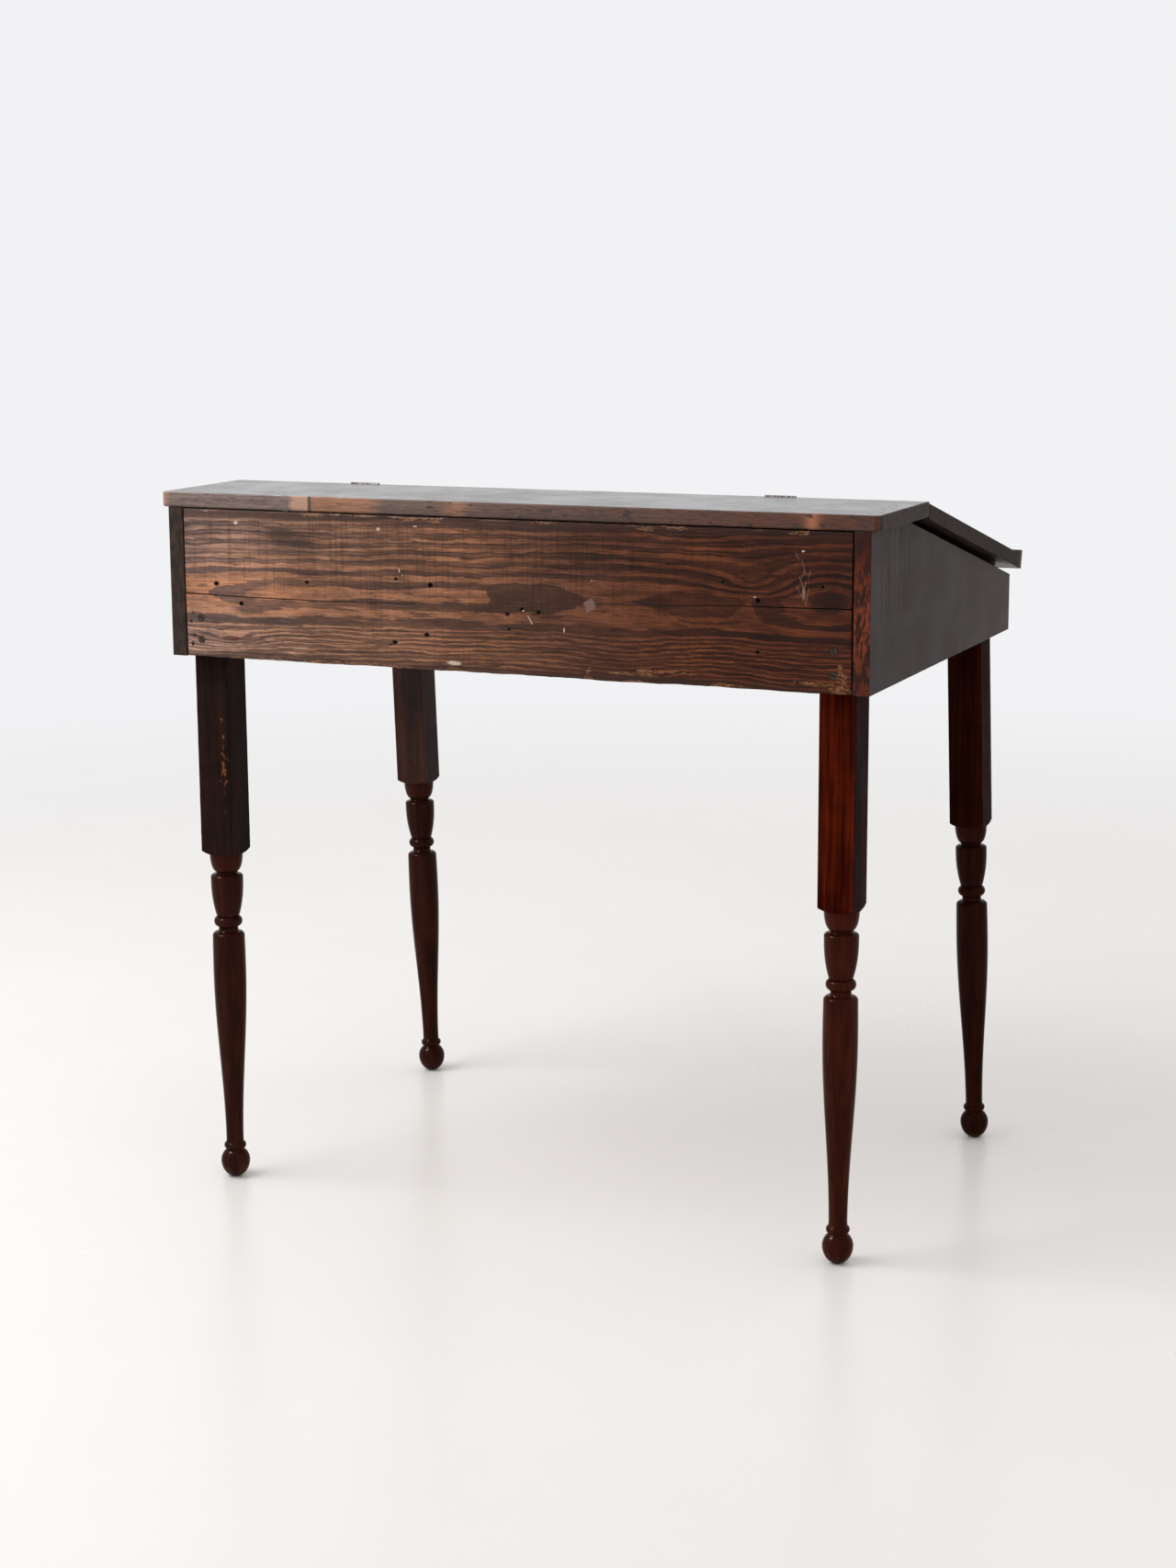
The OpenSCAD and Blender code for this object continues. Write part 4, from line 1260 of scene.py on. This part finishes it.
def turn_profile(bm):
    """Spins the profile. The faces come in any order, and are sorted to be the same each run."""
    inside = BLOCK_START + 1
    points = profile + [(CUP_RIM, inside), (0, inside)]
    row = [bm.verts.new((r * MM, 0, z * MM)) for r, z in points]
    line = [bm.edges.new(pair) for pair in zip(row, row[1:])]
    bmesh.ops.spin(
        bm, geom=row + line, cent=(0, 0, 0), axis=(0, 0, 1), angle=math.tau, steps=LEG_STEPS,
        use_merge=True,
    )
    bmesh.ops.remove_doubles(bm, verts=bm.verts, dist=SNAP)
    bmesh.ops.recalc_face_normals(bm, faces=bm.faces)
    bm.verts.index_update()
    count = len(bm.verts)

    def corners(face):
        numbers = [v.index for v in face.verts]
        return min(numbers) * count + max(numbers)

    bm.faces.sort(key=corners)
    for face in bm.faces:
        face.smooth = True
        face.material_index = 1


def square_block(seed):
    """The square part as a mesh of its own, its arrises worn and its foot rounded by the lathe."""
    bm = bmesh.new()
    bm.verts.layers.float.new("wear")
    tall = LEG_TOP - BLOCK_START
    bmesh.ops.create_cube(bm, size=1)
    bmesh.ops.scale(bm, vec=(2 * LEG_HALF * MM, 2 * LEG_HALF * MM, tall * MM), verts=bm.verts)
    bmesh.ops.translate(bm, vec=(0, 0, (BLOCK_START + tall / 2) * MM), verts=bm.verts)
    mark_arrises(bm, lambda edge: abs(edge.verts[0].co.z - edge.verts[1].co.z) > 0.1)
    cuts = [side * d * MM for d in BLOCK_CUTS for side in (-1, 1)] + [0]
    slices(bm, (1, 0, 0), cuts)
    slices(bm, (0, 1, 0), cuts)
    rows = [(BLOCK_START + d) * MM for d in BLOCK_ROWS]
    slices(bm, (0, 0, 1), rows + steps(rows[-1], LEG_TOP * MM, 7 * MM))
    rounded = round_arrises(bm, 1.3 * MM)
    wear_down(bm, rounded, 0.9 * MM, 40, seed)
    corner = LEG_HALF * math.sqrt(2) + 1
    for v in bm.verts:
        up = max(0, v.co.z / MM - BLOCK_START)
        reach = (LEG_HALF + (corner - LEG_HALF) * min(1, up / BLOCK_ROUND) ** 0.75) * MM
        radius = math.hypot(v.co.x, v.co.y)
        if up < BLOCK_ROUND and radius > reach:
            v.co.x *= reach / radius
            v.co.y *= reach / radius
    return bm


def leg_piece(place, material, x, y, lean, seed):
    bm = square_block(seed)
    block = bpy.data.meshes.new("block")
    bm.to_mesh(block)
    bm.free()
    bm = bmesh.new()
    bm.verts.layers.float.new("wear")
    turn_profile(bm)
    bm.from_mesh(block)
    bpy.data.meshes.remove(block)
    drop = (CASE_BOTTOM - BALL_MIDDLE) * (1 / math.cos(math.radians(lean)) - 1)
    stand = (
        Matrix.Translation((x * MM, y * MM, CASE_BOTTOM))
        @ Matrix.Rotation(math.radians(lean), 4, "Y")
        @ Matrix.Translation((0, 0, -CASE_BOTTOM - drop))
    )
    bmesh.ops.transform(bm, matrix=stand, verts=bm.verts)
    for v in bm.verts:
        v.co.z = max(v.co.z, 0)
    finished(f"leg_stick_{place}", bm, material, "desk", f"leg_{place}")


print("lathe ready")

# %% [markdown]
# The legs are a harder, redder wood than the case. On the leg nearest the camera the grain
# licks up the square part like flames, and the other legs are darker and duller. The front leg
# at picture right is darker still by painted shade, and so is the face of the nearest leg that
# turns away from the window. The stain has worn through in spots beside one arris of the leg at
# picture left.

# %% Finish the square parts of the legs
PAINTED_SIDE_SHADE = (0.01, 0.0085, 0.009)
RUBBED_LEG = (0.115, 0.04, 0.018)
SCAR_TONE = (0.22, 0.075, 0.026)
SHADED_FACE_X = -461.75 * MM
LEG_SCAR = (425 * MM, 585 * MM, 7 * MM, 90 * MM)
LEG_DEEP = 0.22


def leg_finish(name, deep_tone, flame_tone, flame, shine, scar=None, shaded_side=None):
    f = Finish(name)
    grain = along_grain(f, "z")
    fibre = f.fine((26, 900, 900), 4, 0.62, grain)
    lick = f.fine((7, 240, 240), 4, 0.66, grain, 0.35)
    band = f.fine((3.4, 46, 46), 2, 0.5, grain)
    grime = f.noise(22, 5, 0.62)
    licks = f.rise(lick * 0.5 + band * 0.64, 0.46, 0.76) * flame
    wood = f.mix(licks * f.rise(fibre, 0.2, 0.6, 0.55, 1), deep_tone, flame_tone)
    wood = f.shade(wood, f.spread(fibre, 1.14, 0.8))
    wood = f.shade(wood, f.rise(grime, 0.32, 0.68, 0.76, 1.14))
    # Painted shade on the side face of the square part that turns away from the window.
    if shaded_side is not None:
        beyond = f.past(f.px, shaded_side, 0.4, 1, 0.7, 0)
        wood = f.mix(beyond, wood, PAINTED_SIDE_SHADE)
    rubbed = f.rise(f.own("wear") + f.stir(lick, 1.2), 0.36, 0.78)
    wood = f.mix(rubbed * 0.55, wood, RUBBED_LEG)
    if scar is not None:
        middle_x, middle_z, wide, tall = scar
        flaky = f.fine((210, 60, 95), 3, 0.6)
        near = f.hump(f.px, middle_x, wide) * f.hump(f.pz, middle_z, tall)
        spots = f.rise(near * 0.3 + flaky, 0.79, 0.86)
        spots = spots * f.rise(f.py, 0.3135, 0.3148)
        wood = f.mix(spots * 0.7, wood, SCAR_TONE)
    rough = f.spread(grime, 0.5, 0.62) + f.stir(fibre, 0.1)
    height = fibre * -0.4 + lick * 0.4
    return f.finish(wood, rough, f.bump(height, LEG_DEEP, 0.5), shine=shine)


red_block = leg_finish(
    "leg_red", (0.017, 0.0013, 0.0005), (0.106, 0.0115, 0.0026), 1, 0.008, shaded_side=SHADED_FACE_X
)
dark_block = leg_finish(
    "leg_dark", (0.0085, 0.0036, 0.0026), (0.03, 0.0095, 0.0048), 0.6, 0.035, scar=LEG_SCAR
)
far_block = leg_finish("leg_far", (0.016, 0.006, 0.0046), (0.054, 0.0165, 0.0095), 0.8, 0.07)
# Painted shade: the front leg at picture right, behind the case, gets darker tones in its square
# part.
shaded_block = leg_finish("leg_shaded", (0.008, 0.001, 0.0005), (0.032, 0.0056, 0.0022), 0.8, 0.012)
print("square parts finished")

# %% [markdown]
# On the lathe the same wood was burnished and varnished while it turned. It takes an even dark
# red, stays glossy, and catches small lights in every cove. The cup, close under the square,
# is cut across the grain, so it shows redder.

# %% Finish the turned parts and stand the legs
SCUFFED_FOOT = (0.07, 0.036, 0.024)
FOOT_SCUFFS = 30 * MM
TURNED_DEEP = 0.04
FRONT_LEAN = 1.9


def turned_finish(name, tone, shine):
    f = Finish(name)
    grain = along_grain(f, "z")
    fibre = f.fine((30, 500, 500), 4, 0.6, grain)
    lick = f.fine((12, 90, 90), 3, 0.6, grain)
    grime = f.noise(24, 4, 0.6)
    deep, full = [tuple(c * share for c in tone) for share in (0.66, 1.2)]
    wood = f.mix(f.rise(lick, 0.36, 0.68), deep, full)
    wood = f.shade(wood, f.spread(fibre, 1.14, 0.82))
    cup = f.rise(f.pz, (BLOCK_START - 27) * MM, (BLOCK_START - 20) * MM)
    wood = f.mix(cup * 0.35, wood, (tone[0] * 1.7, tone[1] * 1.4, tone[2] * 1.3))
    low = f.rise(FOOT_SCUFFS - f.pz, 0, 20 * MM)
    scuffed = low * f.rise(grime, 0.42, 0.6)
    wood = f.mix(scuffed * 0.5, wood, SCUFFED_FOOT)
    rough = f.spread(grime, 0.075, 0.115) + f.stir(fibre, 0.03)
    return f.finish(wood, rough, f.bump(fibre, TURNED_DEEP, 0.2), shine=shine)


red_turned = turned_finish("turned_red", (0.04, 0.007, 0.0031), 0.037)
dark_turned = turned_finish("turned_dark", (0.03, 0.007, 0.0038), 0.038)
far_turned = turned_finish("turned_far", (0.027, 0.0062, 0.0035), 0.038)
# Painted shade: the turned part of the front leg at picture right has darker tones too.
shaded_turned = turned_finish("turned_shaded", (0.02, 0.004, 0.002), 0.026)
for place, material, x, y, lean, seed in (
    ("back_left", (red_block, red_turned), -439.75, 290.75, 0, 61),
    ("back_right", (dark_block, dark_turned), 439.75, 290.75, 0, 67),
    ("front_left", (shaded_block, shaded_turned), -439.64, -266.75, FRONT_LEAN, 71),
    ("front_right", (far_block, far_turned), 437.28, -266.75, FRONT_LEAN, 73),
):
    leg_piece(place, material, x, y, lean, seed)

# %% [markdown]
# ## Iron
# Slotted screws, cut nails and small butt hinges are all plain iron gone brown. The solids are
# right as they are, so most keep their CAD node and only get a finish. The screws in the back
# were driven by hand and stopped at any angle, so their copies are each turned on their own axis.

# %% Finish the iron
IRON_DEEP = 0.12


def old_iron(name, metal_tone, rust_tone, rust_share, gloss):
    f = Finish(name)
    bloom = f.noise(330, 4, 0.65)
    speck = f.noise(1500, 2, 0.5)
    start = 0.62 - rust_share * 0.3
    rust = f.rise(bloom * 0.8 + speck * 0.2, start, start + 0.16)
    metal = f.mix(rust, metal_tone, rust_tone)
    f.join(1 - rust * 0.8, f.shader.inputs["Metallic"])
    rough = f.spread(bloom, gloss, gloss + 0.25) + rust * 0.25
    return f.finish(metal, rough, f.bump(bloom + speck, IRON_DEEP, 0.7))


hinge_iron = old_iron("hinge_iron", (0.135, 0.126, 0.12), (0.075, 0.048, 0.034), 0.55, 0.6)
screw_iron = old_iron("screw_iron", (0.115, 0.092, 0.074), (0.07, 0.036, 0.02), 0.65, 0.4)
nail_iron = old_iron("nail_iron", (0.04, 0.034, 0.03), (0.038, 0.016, 0.01), 0.6, 0.5)


def dress(node, material):
    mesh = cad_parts[node].data
    if len(mesh.materials) == 0:
        mesh.materials.append(material)
    for i in range(len(mesh.materials)):
        mesh.materials[i] = material


IRON = (
    (hinge_iron, HINGE_LEAVES + ("hinge_pin_left", "hinge_pin_right")),
    (screw_iron, ("hinge_screws_shelf", "hinge_screws_lid", "leg_screws_front", "batten_screws")),
    (nail_iron, ("side_nails_left", "side_nails_right", "shelf_nails", "ledge_brads")),
)
LEDGE_TONES = ((0.014, 0.0095, 0.0085), (0.046, 0.026, 0.019))
for iron, nodes in IRON:
    for node in nodes:
        dress(node, iron)
dress("pencil_ledge", stained_wood("ledge_stain", "x", LEDGE_TONES, 0.4, 0.1))
print("iron nodes", sum(len(nodes) for iron, nodes in IRON))

# %% Turn the screws in the back
BROWN_IRON = ((0.042, 0.027, 0.019), (0.022, 0.012, 0.008))
SLOT_SHADE = (0.004, 0.003, 0.003)


def slotted_iron():
    """The same iron, with painted shade that blackens the slots."""
    f = Finish("slotted_iron")
    bloom = f.noise(330, 4, 0.65)
    metal = f.mix(f.rise(bloom, 0.4, 0.6), *BROWN_IRON)
    # Painted shade in the slots, below the face of each head.
    slot_shade = f.before(f.py, BACK_FACE, -0.45, -0.15)
    metal = f.mix(slot_shade, metal, SLOT_SHADE)
    dents = f.bump(bloom, IRON_DEEP, 0.7)
    return f.finish(metal, f.spread(bloom, 0.45, 0.7), dents, shine=0.2)


def back_screws():
    bm = joined("leg_screws_back")
    for x, h, turn in BACK_SCREWS:
        middle = Vector((x * MM, BACK_FACE, CASE_BOTTOM + h * MM))
        own = [v for v in bm.verts if math.hypot(v.co.x - middle.x, v.co.z - middle.z) < 8 * MM]
        axis = sum((v.co for v in own), Vector()) / len(own)
        bmesh.ops.rotate(bm, verts=own, cent=axis, matrix=Matrix.Rotation(math.radians(turn), 3, "Y"))
    finished("back_screws", bm, slotted_iron(), "desk", "leg_screws_back")


back_screws()
